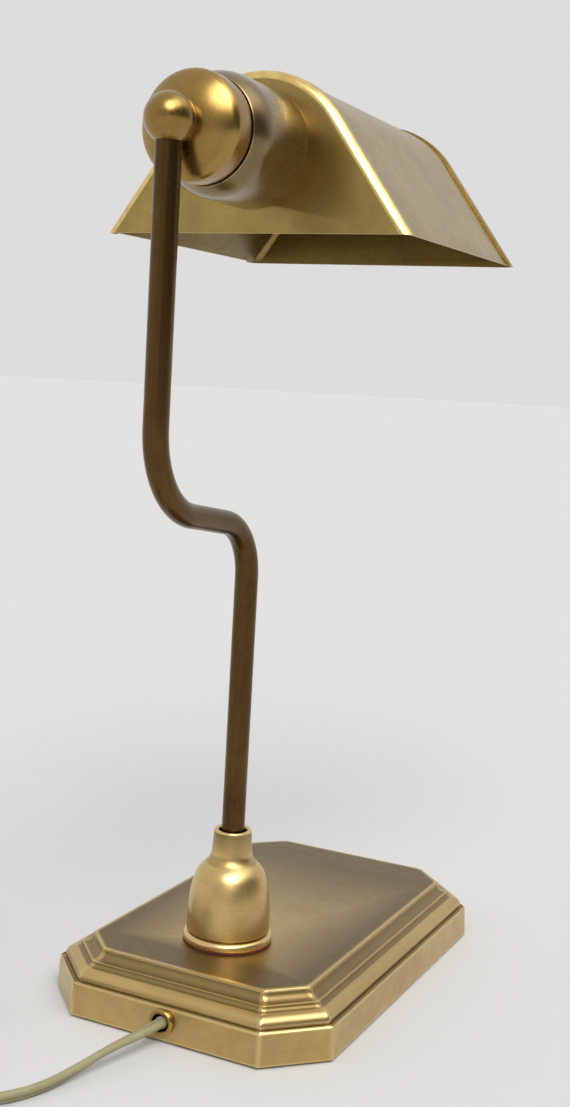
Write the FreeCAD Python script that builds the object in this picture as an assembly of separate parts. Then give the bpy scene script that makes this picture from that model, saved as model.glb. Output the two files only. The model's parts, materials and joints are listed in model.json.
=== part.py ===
import FreeCAD
import Part
import math
import os

# Banker desk lamp in antique brass, in millimetres, +Z up.
# The origin is the middle of the base's resting face. The base is long in Y, the mains cord
# leaves its -Y face, and the shade hangs over the base with its long side in Y.

Vector = FreeCAD.Vector
X_AXIS = Vector(1, 0, 0)
Y_AXIS = Vector(0, 1, 0)
Z_AXIS = Vector(0, 0, 1)
ORIGIN = Vector(0, 0, 0)

# --- driving dimensions -------------------------------------------------------------------
BASE_LENGTH = 206.0  # along Y, at the foot of the vertical face
BASE_WIDTH = 134.0  # along X
CORNER_CUT = 22.5  # leg of each cut corner
SHELL_FOOT = 1.0  # the shell stands this far off the table, on the felt
FACE_DRAFT = 0.8  # the vertical face leans in this much
FACE_TOP = 15.0  # height of the vertical face
EDGE_BREAK = 0.6
LEDGE = 3.0  # inset of the ovolo from the foot
OVOLO = 4.4  # quarter-round radius
COVE = 1.9
FILLET = 0.9  # flat between the two coves
CAVETTO = 3.8
PLATE_LIP = 0.5
SHELL_WALL = 4.4
DECK_THICKNESS = 2.9

STEM_Y = -49.0  # where the stem stands on the base
OFFSET_Y = -128.7  # where the upper run of the stem stands
TUBE_R = 5.0
TUBE_WALL = 1.0
STEM_FOOT = 17.0  # lower end of the tube, under the deck
LOW_CORNER_Z = 209.0  # corner of the lower bend, before rounding
HIGH_CORNER_Z = 220.6
LOW_BEND_R = 25.0
HIGH_BEND_R = 35.0

BELL_TOP = 76.5
GASKET = 0.8
RING_R = 19.6
BELL_R = 18.2  # at the foot of the bell
NECK_R = 9.0
NECK_TOP_R = 8.2
NECK_BORE = 6.2

PIVOT_Z = 363.5  # the tilt axis runs along Y at this height
BALL_R = 9.7
BALL_FACE_Y = -121.9  # flat of the ball against the knob
JOINT_GAP = 0.3
KNOB_R = 21.0
KNOB_Y = -108.4
KNOB_BACK_Y = -100.2
KNOB_WALL = 2.5
KNOB_DOME_R = 34.0  # the front is a shallow dome
KNOB_DOME_RISE = 0.6  # what the seat for the small ball takes off the dome
KNOB_RIM_R = 4.5
NIPPLE_R = 5.0
NIPPLE_BORE = 3.2
NIPPLE_SEAT = 3.0  # how far past the tube's middle the nipple is screwed in
NIPPLE_END_Y = -108.0
TUBE_TOP_Z = PIVOT_Z - NIPPLE_R - 0.3
RUNNING_GAP = 0.05

CUP_R = 24.2
CUP_FRONT_Y = -103.2
CUP_SHOULDER_Y = -92.0  # the cup reaches its full radius here
CUP_WALL = 1.2

SHADE_FRONT_Y = -62.0
SHADE_LENGTH = 136.0
SHADE_FOOT_Z = 330.0
SHADE_HEIGHT = 65.0
CROWN_R = 44.0  # arc over the top of the shade
FLARE = math.radians(53.8)  # slope of the straight sides
SHEET = 1.0
CAP_EDGE_R = 4.0
CAP_DEPTH = 7.5

HOLDER_R = 19.8
HOLDER_FRONT_Y = -95.0
HOLDER_SPLIT_Y = -79.0  # the insulating body ends and the sleeve starts
SLEEVE_END_Y = -42.0
BULB_R = 15.0
BULB_CAP_R = 13.0
BULB_CAP_END_Y = -49.0
CAP_TIP_Y = -74.5
BULB_NECK_Y = -40.0
BULB_TIP_Y = 48.0

CORD_R = 2.6
CORD_EXIT_Z = 9.0
BUSHING_R = 4.3
BUSHING_FACE_Y = -BASE_LENGTH / 2 - 1.8
FLOOR_GAP = 0.1
COIL_CENTRE = Vector(-109.0, -140.0, 0)
COIL_R = 30.0  # middle of the turns
COIL_TURNS_WIDE = 4
COIL_HEIGHT = 10.0

SWITCH_CENTRE = Vector(-83.0, -195.0, 0)
SWITCH_LENGTH = 60.0
SWITCH_WIDTH = 27.0
SWITCH_SPLIT_Z = 6.5
SWITCH_TOP_Z = 15.0
SWITCH_WALL = 1.8
ROCKER_PIVOT_Z = 12.0
ROCKER_WIDTH = 10.0
WINDOW_LENGTH = 19.2
WINDOW_WIDTH = 11.0
ROCKER_TILT = 8.0  # degrees either side of level

PLUG_AT = Vector(-149.0, -107.0, 7.0)
PLUG_TURN = 10.0  # degrees from +Y towards -X
SLEEVE_LENGTH = 22.0
PLUG_LENGTH = 34.0
PLUG_HALF_WIDTH = 17.6  # at the pin face
PLUG_THICKNESS = 13.6
SLEEVE_HIGH_R = 5.4
PIN_R = 2.0
PIN_LENGTH = 18.0  # straight part, before the chamfered end
PIN_X = 9.3  # from the plug's middle to each pin

DECK_TOP = FACE_TOP + EDGE_BREAK + OVOLO + COVE + 0.3 + CAVETTO + PLATE_LIP
DECK_UNDER = DECK_TOP - DECK_THICKNESS
POCKET_INSET = 17.0  # the deeper pocket under the deck
POCKET_STEP_Z = 14.6
COVER_Z = 1.6
COVER_TOP = 3.0


# --- helpers ------------------------------------------------------------------------------
def outline(start, steps, to_space):
    """A closed wire. A step is (a, b) for a line to it, or (ma, mb, a, b) for an arc through m."""
    edges = []
    here = start
    for step in list(steps) + [start]:
        end = step[-2:]
        if len(step) == 4:
            middle = to_space(*step[:2])
            edges.append(Part.Arc(to_space(*here), middle, to_space(*end)).toShape())
        elif math.dist(here, end) > 1e-6:
            edges.append(Part.LineSegment(to_space(*here), to_space(*end)).toShape())
        here = end
    return Part.Wire(edges)


def turned(start, steps, axis="Z", at=ORIGIN):
    """A turned piece from its (radius, height) section, with the height along the named axis."""
    wire = outline(start, steps, lambda r, h: Vector(r, 0, h))
    solid = Part.Face(wire).revolve(ORIGIN, Z_AXIS, 360)
    if axis == "Y":
        solid.rotate(ORIGIN, X_AXIS, -90)
    solid.translate(at)
    return solid


def ring(inner, outer, low, high, axis="Z", at=ORIGIN):
    steps = [(outer, low), (outer, high), (inner, high)]
    return turned((inner, low), steps, axis, at)


def rod(radius, start, end):
    return Part.makeCylinder(radius, start.distanceToPoint(end), start, end - start)


def box(low, high):
    return Part.makeBox(high[0] - low[0], high[1] - low[1], high[2] - low[2], Vector(*low))


def group(solids):
    return Part.makeCompound(solids)


def placed(solid, x, y, z):
    solid.translate(Vector(x, y, z))
    return solid


def nut(across_flats, bore, low, high, axis="Z", at=ORIGIN):
    """A hexagon nut with its thread left as a plain bore."""
    corner = across_flats / math.sqrt(3)
    points = []
    for k in range(7):
        angle = math.radians(60 * k)
        points.append(Vector(corner * math.cos(angle), corner * math.sin(angle), low))
    body = Part.Face(Part.makePolygon(points)).extrude(Vector(0, 0, high - low))
    body = body.cut(Part.makeCylinder(bore, high - low + 2, Vector(0, 0, low - 1)))
    if axis == "Y":
        body.rotate(ORIGIN, X_AXIS, -90)
    body.translate(at)
    return body


def screw(head_r, head_h, shank_r, length):
    """A countersunk screw standing on its head at z 0, with a slot across the head."""
    steps = [(head_r, 0), (head_r, 0.3), (shank_r, head_h), (shank_r, length), (0, length)]
    slot = box((-head_r, -0.35, -0.1), (head_r, 0.35, 0.5))
    return turned((0, 0), steps).cut(slot)


def rounded_path(points, radii):
    """Straight runs joined by tangent arcs of the given radii, one for each inner point."""
    edges = []
    here = points[0]
    for before, corner, after, radius in zip(points, points[1:], points[2:], radii):
        back = (before - corner).normalize()
        ahead = (after - corner).normalize()
        half_turn = (math.pi - back.getAngle(ahead)) / 2
        reach = radius * math.tan(half_turn)
        middle = (back + ahead).normalize() * (radius / math.cos(half_turn) - radius)
        first = corner + back * reach
        last = corner + ahead * reach
        edges.append(Part.LineSegment(here, first).toShape())
        edges.append(Part.Arc(first, corner + middle, last).toShape())
        here = last
    edges.append(Part.LineSegment(here, points[-1]).toShape())
    return Part.Wire(edges)


def swept(path, radius):
    start = path.Edges[0].valueAt(path.Edges[0].FirstParameter)
    heading = path.Edges[0].tangentAt(path.Edges[0].FirstParameter)
    section = Part.Wire([Part.makeCircle(radius, start, heading)])
    return path.makePipeShell([section], True, False)


def cord(name, points):
    """A free cord's tube. Each arc is as large as its two runs allow."""
    points = [Vector(*p) for p in points]
    radii = []
    for before, corner, after in zip(points, points[1:], points[2:]):
        back = before - corner
        ahead = after - corner
        half_turn = (math.pi - back.getAngle(ahead)) / 2
        radii.append(0.45 * min(back.Length, ahead.Length) / math.tan(half_turn))
    path = rounded_path(points, radii)
    tube = swept(path, CORD_R)
    expected = math.pi * CORD_R**2 * path.Length
    print(name, "length", round(path.Length, 1), "radii", [round(r) for r in radii])
    print(name, "volume / section x length", round(tube.Volume / expected, 4))
    return tube


# --- base ---------------------------------------------------------------------------------
def octagon(inset, low, high):
    """A prism over the base's outline, moved inwards by inset."""
    x = BASE_WIDTH / 2 - inset
    y = BASE_LENGTH / 2 - inset
    cut = CORNER_CUT - inset * (2 - math.sqrt(2))
    corners = [(x, y - cut), (x - cut, y), (cut - x, y), (-x, y - cut)]
    corners += [(-a, -b) for a, b in corners]
    points = [Vector(a, b, low) for a, b in corners + corners[:1]]
    return Part.Face(Part.makePolygon(points)).extrude(Vector(0, 0, high - low))


def moulding(half):
    """Steps up the moulding of one side of the base that is half from the middle."""
    ovolo_foot = FACE_TOP + EDGE_BREAK
    cove_foot = ovolo_foot + OVOLO
    flat = cove_foot + COVE + 0.3
    diagonal = math.sqrt(0.5)
    a = half - LEDGE
    b = a - OVOLO
    c = b - COVE
    d = c - FILLET
    e = d - CAVETTO
    return [
        (half - FACE_DRAFT, FACE_TOP - EDGE_BREAK),
        (half - FACE_DRAFT - EDGE_BREAK, FACE_TOP),
        ((half - FACE_DRAFT - EDGE_BREAK + a) / 2, FACE_TOP - 0.7, a, FACE_TOP),
        (a, ovolo_foot),
        (b + OVOLO * diagonal, ovolo_foot + OVOLO * diagonal, b, cove_foot),
        (b - COVE * diagonal, cove_foot + COVE * (1 - diagonal), c, cove_foot + COVE),
        (c, flat),
        (d, flat),
        (d - CAVETTO * diagonal, flat + CAVETTO * (1 - diagonal), e, flat + CAVETTO),
        (e - PLATE_LIP, DECK_TOP),
    ]


def mirrored(start, steps):
    """The same steps gone back over on the other side of the middle."""
    ends = [start] + [step[-2:] for step in steps]
    back = [(-ends[-1][0], ends[-1][1])]
    for i in range(len(steps) - 1, -1, -1):
        target = (-ends[i][0], ends[i][1])
        step = steps[i]
        back.append((-step[0], step[1]) + target if len(step) == 4 else target)
    return back


def base_block():
    """The mitred moulding: the space inside the sides' four sections."""
    reach = BASE_LENGTH * 2
    diagonal = (BASE_WIDTH / 2 + BASE_LENGTH / 2 - CORNER_CUT) / math.sqrt(2)
    block = None
    for half, angle in [
        (BASE_WIDTH / 2, 0),
        (BASE_LENGTH / 2, 90),
        (diagonal, 45),
        (diagonal, -45),
    ]:
        start = (half, SHELL_FOOT)
        steps = moulding(half)
        wire = outline(start, steps + mirrored(start, steps), lambda a, b: Vector(a, -reach / 2, b))
        bar = Part.Face(wire).extrude(Vector(0, reach, 0))
        bar.rotate(ORIGIN, Z_AXIS, angle)
        block = bar if block is None else block.common(bar)
    return block


COVER_SCREWS = [(x, y) for x in (-57, 57) for y in (-60, 60)]
WEIGHT_SCREWS = [(-22, 30), (22, 30)]


def base_shell():
    shell = base_block()
    shell = shell.cut(octagon(SHELL_WALL, 0, POCKET_STEP_Z))
    shell = shell.cut(octagon(POCKET_INSET, POCKET_STEP_Z - 1, DECK_UNDER))
    for x, y in COVER_SCREWS:
        boss = ring(1.5, 4.0, COVER_TOP, POCKET_STEP_Z + 0.5, at=Vector(x, y, 0))
        shell = shell.fuse(boss)
        shell = shell.cut(Part.makeCylinder(1.5, 9, Vector(x, y, 0)))
    for x, y in WEIGHT_SCREWS:
        shell = shell.cut(Part.makeCylinder(2.0, 1.8, Vector(x, y, DECK_UNDER - 0.1)))
    shell = shell.cut(Part.makeCylinder(TUBE_R + 0.05, 20, Vector(0, STEM_Y, 15)))
    bore_start = Vector(0, -BASE_LENGTH / 2 - 1, CORD_EXIT_Z)
    bore = rod(BUSHING_R + 0.05, bore_start, bore_start + Y_AXIS * 14)
    return shell.cut(bore).removeSplitter()


def base_weight():
    block = octagon(POCKET_INSET + 1, POCKET_STEP_Z + 0.5, DECK_UNDER)
    block = block.common(box((-60, -26, 0), (60, 100, 40)))
    for x, y in WEIGHT_SCREWS:
        block = block.cut(Part.makeCylinder(2.2, 20, Vector(x, y, 10)))
    return block


def base_cover():
    plate = octagon(SHELL_WALL + 0.3, COVER_Z, COVER_TOP)
    for x, y in COVER_SCREWS:
        plate = plate.cut(
            turned((0, COVER_Z), [(3.0, COVER_Z), (3.0, 2.0), (1.6, COVER_TOP), (0, COVER_TOP)],
                   at=Vector(x, y, 0))
        )
    return plate


def cover_screws():
    return group([placed(screw(2.9, 1.3, 1.45, 8), x, y, COVER_Z) for x, y in COVER_SCREWS])


def weight_screws():
    low = POCKET_STEP_Z + 0.5 - 2.6
    screws = []
    for x, y in WEIGHT_SCREWS:
        head = Part.makeCylinder(3.8, 2.6, Vector(x, y, low))
        shank = Part.makeCylinder(1.95, DECK_UNDER + 1.5 - low, Vector(x, y, low))
        slot = box((x - 4, y - 0.5, low - 0.1), (x + 4, y + 0.5, low + 1.2))
        screws.append(head.fuse(shank).cut(slot))
    return group(screws)


def cord_bushing():
    """Brass bushing with a rounded flange, for the cord."""
    low = BUSHING_FACE_Y
    wall = -BASE_LENGTH / 2 + 0.3
    steps = [
        (3.9, low + 0.15, 4.6, low),
        (5.4, low + 0.35, 5.65, low + 1.0),
        (5.65, wall),
        (BUSHING_R, wall),
        (BUSHING_R, wall + 8.5),
        (3.65, wall + 8.5),
    ]
    return turned((3.65, low + 0.6), steps, "Y", Vector(0, 0, CORD_EXIT_Z))


def bushing_nut():
    inner_face = -BASE_LENGTH / 2 + SHELL_WALL
    at = Vector(0, 0, CORD_EXIT_Z)
    return nut(11.0, BUSHING_R + 0.02, inner_face, inner_face + 3, "Y", at)


CLAMP_Y = -86.0
CLAMP_HEIGHT = 9.6
CLAMP_SCREWS = (-6.5, 6.5)  # x of each
LEAD_X = 0.3
LEAD_Z = 8.8
TERMINAL_X = 27.0  # the block's side towards the lead
TERMINAL_WAYS = (-67.0, -61.0, -55.0)  # y of each screw
TERMINAL_HEIGHT = 8.6


def cord_clamp():
    """Bridge that holds the lead down on the cover plate."""
    near, far = CLAMP_Y - 4, CLAMP_Y + 4
    bridge = box((-9, near, COVER_TOP), (9, far, COVER_TOP + CLAMP_HEIGHT))
    lead_start = Vector(LEAD_X, near - 1, LEAD_Z)
    bridge = bridge.cut(rod(CORD_R + 0.02, lead_start, lead_start + Y_AXIS * 10))
    bridge = bridge.cut(box((-2.4, near - 1, COVER_TOP - 1), (3.0, far + 1, LEAD_Z - 0.8)))
    for x in CLAMP_SCREWS:
        bridge = bridge.cut(Part.makeCylinder(1.3, 12, Vector(x, CLAMP_Y, COVER_TOP - 1)))
    return bridge


def clamp_screws():
    top = COVER_TOP + CLAMP_HEIGHT
    screws = []
    for x in CLAMP_SCREWS:
        shank = Part.makeCylinder(1.25, CLAMP_HEIGHT, Vector(x, CLAMP_Y, COVER_TOP))
        head = Part.makeCylinder(2.3, 1.4, Vector(x, CLAMP_Y, top))
        slot = box((x - 2.4, CLAMP_Y - 0.3, top + 0.8), (x + 2.4, CLAMP_Y + 0.3, top + 2.4))
        screws.append(shank.fuse(head).cut(slot))
    return group(screws)


def terminal_block():
    top = COVER_TOP + TERMINAL_HEIGHT
    first, last = TERMINAL_WAYS[0] - 5, TERMINAL_WAYS[-1] + 5
    block = box((TERMINAL_X, first, COVER_TOP), (TERMINAL_X + 18, last, top))
    for y in TERMINAL_WAYS:
        block = block.cut(Part.makeCylinder(1.7, 5, Vector(TERMINAL_X + 13, y, COVER_TOP + 5)))
        rib = box((TERMINAL_X + 14.9, y - 2.4, top - 0.1), (TERMINAL_X + 17.5, y + 2.4, top + 0.7))
        block = block.fuse(rib)
    return block


def mains_lead_inside():
    points = [
        (0, -104, CORD_EXIT_Z),
        (LEAD_X, -94, LEAD_Z),
        (LEAD_X, -76.5, LEAD_Z),
        (9, -67.5, 7.6),
        (TERMINAL_X - 0.4, TERMINAL_WAYS[0], 7.6),
    ]
    return swept(rounded_path([Vector(*p) for p in points], [60, 12, 14]), CORD_R)


# --- stem ---------------------------------------------------------------------------------
STEM_CORNERS = [
    Vector(0, STEM_Y, LOW_CORNER_Z),
    Vector(0, OFFSET_Y, HIGH_CORNER_Z),
]


def stem_tube():
    points = [Vector(0, STEM_Y, STEM_FOOT)] + STEM_CORNERS + [Vector(0, OFFSET_Y, TUBE_TOP_Z)]
    path = rounded_path(points, [LOW_BEND_R, HIGH_BEND_R])
    return swept(path, TUBE_R).cut(swept(path, TUBE_R - TUBE_WALL))


def stem_lead():
    """Two-core lead from the terminal block, up the stem and out through the pivot."""
    points = [Vector(TERMINAL_X - 0.4, -55.5, 7.6), Vector(12, -52.5, 7.6), Vector(0, STEM_Y, 12.5)]
    points += STEM_CORNERS
    points += [Vector(0, OFFSET_Y, PIVOT_Z), Vector(0, NIPPLE_END_Y + 0.2, PIVOT_Z)]
    return swept(rounded_path(points, [8, 5, LOW_BEND_R, HIGH_BEND_R, 5.5]), 2.0)


def stem_nuts():
    """One nut under the deck and one on it, inside the bell."""
    at = Vector(0, STEM_Y, 0)
    return group([
        nut(17.0, TUBE_R + 0.02, DECK_UNDER - 5.4, DECK_UNDER - 1.4, at=at),
        nut(17.0, TUBE_R + 0.02, DECK_TOP + 1.2, DECK_TOP + 5.2, at=at),
    ])


def stem_washers():
    at = Vector(0, STEM_Y, 0)
    return group([
        ring(TUBE_R + 0.1, 11.0, DECK_UNDER - 1.4, DECK_UNDER, at=at),
        ring(TUBE_R + 0.1, 11.0, DECK_TOP, DECK_TOP + 1.2, at=at),
    ])


def bell_gasket():
    return ring(17.0, RING_R - 0.2, DECK_TOP, DECK_TOP + GASKET, at=Vector(0, STEM_Y, 0))


def bell_ring():
    """Foot ring with a rounded bead."""
    low = DECK_TOP + GASKET
    steps = [
        (RING_R - 0.9, low),
        (RING_R - 0.2, low + 0.4, RING_R, low + 1.3),
        (RING_R - 0.5, low + 2.9, RING_R - 1.6, low + 3.9),
        (RING_R - 2.2, low + 4.1),
    ]
    return turned((RING_R - 2.2, low), steps, at=Vector(0, STEM_Y, 0))


def bell_cup():
    """Spun bell with a narrow neck round the tube."""
    foot = DECK_TOP + GASKET
    bell = [
        (RING_R - 2.2, foot),
        (RING_R - 2.2, foot + 4.2),
        (BELL_R, foot + 4.6),
        (18.15, 40.0, 17.3, 48.5),
        (16.5, 52.4, 15.3, 56.2),
        (13.75, 59.06, 11.5, 61.4),
        (9.81, 63.37, NECK_R, 65.84),
        (NECK_R - 0.25, 67.2),
        (NECK_TOP_R, BELL_TOP - 1.0),
        (NECK_TOP_R - 0.4, BELL_TOP - 0.1, NECK_TOP_R - 1.0, BELL_TOP),
        (NECK_BORE + 0.3, BELL_TOP - 0.2, NECK_BORE, BELL_TOP - 1.0),
        (NECK_BORE, 66.0),
        (8.4, 60.8),
        (14.0, 53.5, 15.8, 47.0),
        (16.3, foot),
    ]
    return turned(bell[-1], bell[:-1], at=Vector(0, STEM_Y, 0))


def stem_ball():
    centre = Vector(0, OFFSET_Y, PIVOT_Z)
    ball = Part.makeSphere(BALL_R, centre)
    back = BALL_FACE_Y - 3 * BALL_R
    half = 2 * BALL_R
    ball = ball.common(box((-half, back, PIVOT_Z - half), (half, BALL_FACE_Y, PIVOT_Z + half)))
    ball = ball.cut(rod(TUBE_R + 0.02, centre - Z_AXIS * half, centre + Z_AXIS * 2.5))
    ball = ball.cut(rod(NIPPLE_R + 0.02, centre - Y_AXIS * NIPPLE_SEAT, centre + Y_AXIS * half))
    return ball


def pivot_nipple():
    """Threaded nipple with a hole in its underside, where the lead comes in from the tube."""
    start = OFFSET_Y - NIPPLE_SEAT + JOINT_GAP
    nipple = ring(NIPPLE_BORE, NIPPLE_R, start, NIPPLE_END_Y, "Y", Vector(0, 0, PIVOT_Z))
    hole_top = Vector(0, OFFSET_Y, PIVOT_Z)
    return nipple.cut(rod(NIPPLE_BORE - 0.1, hole_top - Z_AXIS * 2 * NIPPLE_R, hole_top))


KNOB_FRONT_Y = BALL_FACE_Y + JOINT_GAP
KNOB_FRONT_WALL = 5.0
WASHER_Y = KNOB_FRONT_Y + KNOB_FRONT_WALL + JOINT_GAP


def pivot_washer():
    """Conical spring washer that sets how stiffly the head turns."""
    steps = [(9.5, WASHER_Y), (9.5, WASHER_Y + 0.8), (NIPPLE_R + 0.05, WASHER_Y + 1.6)]
    return turned((NIPPLE_R + 0.05, WASHER_Y + 0.8), steps, "Y", Vector(0, 0, PIVOT_Z))


def pivot_nut():
    return nut(14.0, NIPPLE_R + 0.02, WASHER_Y + 1.6, WASHER_Y + 5.6, "Y", Vector(0, 0, PIVOT_Z))


# --- head ---------------------------------------------------------------------------------
def knob():
    """Hollow knob: a shallow dome with a rolled rim in front, and part of a ball behind it.

    It is flat where it meets the stem's small ball, and bored to turn on the nipple.
    """
    bore = NIPPLE_R + RUNNING_GAP
    dome_y = KNOB_FRONT_Y - KNOB_DOME_RISE + KNOB_DOME_R
    seat_r = math.sqrt(KNOB_DOME_R**2 - (dome_y - KNOB_FRONT_Y) ** 2)
    rim_x = KNOB_R - KNOB_RIM_R
    rim_y = dome_y - math.sqrt((KNOB_DOME_R - KNOB_RIM_R) ** 2 - rim_x**2)
    slope = math.asin(rim_x / (KNOB_DOME_R - KNOB_RIM_R))
    seat_slope = math.asin(seat_r / KNOB_DOME_R)

    def on_dome(angle):
        return KNOB_DOME_R * math.sin(angle), dome_y - KNOB_DOME_R * math.cos(angle)

    def on_rim(angle):
        return rim_x + KNOB_RIM_R * math.sin(angle), rim_y - KNOB_RIM_R * math.cos(angle)

    def on_ball(r, y):
        return math.sqrt(r**2 - (y - KNOB_Y) ** 2), y

    inner_r = KNOB_R - KNOB_WALL
    inner_front = KNOB_FRONT_Y + KNOB_FRONT_WALL
    steps = [
        (seat_r, KNOB_FRONT_Y),
        on_dome((seat_slope + slope) / 2) + on_dome(slope),
        on_rim((slope + math.pi / 2) / 2) + (KNOB_R, rim_y),
        (KNOB_R, KNOB_Y),
        on_ball(KNOB_R, (KNOB_Y + KNOB_BACK_Y) / 2) + on_ball(KNOB_R, KNOB_BACK_Y),
        on_ball(inner_r, KNOB_BACK_Y),
        (inner_r, KNOB_Y) + on_ball(inner_r, inner_front),
        (bore, inner_front),
    ]
    return turned((bore, KNOB_FRONT_Y), steps, "Y", Vector(0, 0, PIVOT_Z))


def holder_cup():
    """Cup behind the knob that hides the lamp holder, closed by the shade's end plate."""
    mouth_back = CUP_FRONT_Y + 2.6
    mouth_front = CUP_FRONT_Y + 1.0
    back_r = math.sqrt(KNOB_R**2 - (mouth_back - KNOB_Y) ** 2) + 0.02
    front_r = math.sqrt(KNOB_R**2 - (mouth_front - KNOB_Y) ** 2) + 0.08
    inner = CUP_R - CUP_WALL
    steps = [
        (front_r, mouth_front),
        (front_r + 0.7, CUP_FRONT_Y + 0.6),
        (CUP_R - 1.15, CUP_FRONT_Y + 4.8, CUP_R, CUP_SHOULDER_Y),
        (CUP_R, SHADE_FRONT_Y),
        (inner, SHADE_FRONT_Y),
        (inner, CUP_SHOULDER_Y),
        (inner - 0.95, CUP_FRONT_Y + 6.1, back_r + 1.2, mouth_back),
    ]
    return turned((back_r, mouth_back), steps, "Y", Vector(0, 0, PIVOT_Z))


def holder_leads():
    wires = []
    for side in (-1, 1):
        start = Vector(side * 1.1, NIPPLE_END_Y + 0.5, PIVOT_Z)
        points = [start, start + Vector(0, 3.5, 0), Vector(side * 7, -96, PIVOT_Z)]
        wires.append(swept(rounded_path(points, [6]), 0.9))
    return group(wires)


HOLDER_AT = Vector(0, 0, PIVOT_Z)
PLATE_INNER_Y = SHADE_FRONT_Y + SHEET


def holder_body():
    """Insulating body of the lamp holder with its two terminals' recesses."""
    body = ring(0, HOLDER_R - 1.4, HOLDER_FRONT_Y, HOLDER_SPLIT_Y, "Y", HOLDER_AT)
    for side in (-1, 1):
        x = side * 9.5
        recess = box((x - 3, HOLDER_FRONT_Y - 0.5, PIVOT_Z + 3), (x + 3, HOLDER_FRONT_Y + 5, PIVOT_Z + 9))
        body = body.cut(recess)
    return body


def holder_skirt():
    """Insulating sleeve that passes through the shade's end plate."""
    steps = [
        (HOLDER_R + 1.6, HOLDER_SPLIT_Y),
        (HOLDER_R + 1.6, SHADE_FRONT_Y),
        (HOLDER_R, SHADE_FRONT_Y),
        (HOLDER_R, SLEEVE_END_Y),
        (BULB_R + 0.2, SLEEVE_END_Y),
    ]
    return turned((BULB_R + 0.2, HOLDER_SPLIT_Y), steps, "Y", HOLDER_AT)


def holder_shell():
    """Brass screw shell that takes the bulb's cap."""
    start = HOLDER_SPLIT_Y + 3
    return ring(BULB_CAP_R + 0.4, BULB_CAP_R + 1.0, start, BULB_CAP_END_Y + 2, "Y", HOLDER_AT)


def holder_contact():
    return box((-4, HOLDER_SPLIT_Y, PIVOT_Z - 2.5), (4, HOLDER_SPLIT_Y + 1.4, PIVOT_Z + 2.5))


def shade_ring():
    """Ring nut on the sleeve that clamps the end plate against the cup."""
    knurled = ring(HOLDER_R + 0.05, HOLDER_R + 6.5, PLATE_INNER_Y, PLATE_INNER_Y + 6, "Y", HOLDER_AT)
    flutes = 24
    flute_r = HOLDER_R + 6.9
    for k in range(flutes):
        angle = 2 * math.pi * k / flutes
        x = flute_r * math.cos(angle)
        z = PIVOT_Z + flute_r * math.sin(angle)
        start = Vector(x, PLATE_INNER_Y - 1, z)
        knurled = knurled.cut(rod(1.0, start, start + Y_AXIS * 8))
    return knurled


def shade_face(inset, low):
    """The shade's section: an arc over the top and straight sides that flare out."""
    centre_z = SHADE_FOOT_Z + SHADE_HEIGHT - CROWN_R
    r = CROWN_R - inset
    tangent_x = r * math.sin(FLARE)
    tangent_z = centre_z + r * math.cos(FLARE)
    foot_x = tangent_x + (tangent_z - low) / math.tan(FLARE)
    steps = [
        (tangent_x, tangent_z),
        (0, centre_z + r, -tangent_x, tangent_z),
        (-foot_x, low),
    ]
    return Part.Face(outline((foot_x, low), steps, lambda a, b: Vector(a, 0, b)))


def shade_bar(inset, low, start_y, end_y):
    face = shade_face(inset, low)
    face.translate(Vector(0, start_y, 0))
    return face.extrude(Vector(0, end_y - start_y, 0))


def edges_in_plane(shape, y):
    """Edges at that y that follow the shade's outline, apart from the one along the foot."""
    found = []
    for edge in shape.Edges:
        flat = abs(edge.BoundBox.YMin - y) < 1e-4 and abs(edge.BoundBox.YMax - y) < 1e-4
        level = edge.BoundBox.ZMax - edge.BoundBox.ZMin < 1e-3
        if flat and not level:
            found.append(edge)
    return found


def end_cap():
    """A pressed end plate at y 0 with a rounded edge and a short flange behind it."""
    outer = shade_bar(0, SHADE_FOOT_Z, 0, CAP_DEPTH)
    outer = outer.makeFillet(CAP_EDGE_R, edges_in_plane(outer, 0))
    inner = shade_bar(SHEET, SHADE_FOOT_Z - 5, SHEET, CAP_DEPTH + 1)
    inner = inner.makeFillet(CAP_EDGE_R - SHEET, edges_in_plane(inner, SHEET))
    return outer.cut(inner)


def near_end_plate():
    plate = end_cap()
    plate.translate(Vector(0, SHADE_FRONT_Y, 0))
    hole = rod(HOLDER_R + 0.1, Vector(0, -70, PIVOT_Z), Vector(0, -50, PIVOT_Z))
    return plate.cut(hole)


def far_end_plate():
    plate = end_cap()
    plate.rotate(ORIGIN, Z_AXIS, 180)
    plate.translate(Vector(0, SHADE_FRONT_Y + SHADE_LENGTH, 0))
    return plate


def shade_body():
    start = SHADE_FRONT_Y + CAP_EDGE_R + 0.6
    end = SHADE_FRONT_Y + SHADE_LENGTH - CAP_EDGE_R - 0.6
    sheet = shade_bar(SHEET, SHADE_FOOT_Z + 0.4, start, end)
    return sheet.cut(shade_bar(2 * SHEET, SHADE_FOOT_Z - 5, start - 1, end + 1))


def bulb_cap():
    steps = [(BULB_CAP_R, BULB_CAP_END_Y), (BULB_CAP_R, -70), (6.0, CAP_TIP_Y), (0, CAP_TIP_Y)]
    return turned((0, BULB_CAP_END_Y), steps, "Y", HOLDER_AT)


def bulb_contact():
    return ring(0, 4.0, CAP_TIP_Y - 2.4, CAP_TIP_Y, "Y", HOLDER_AT)


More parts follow.
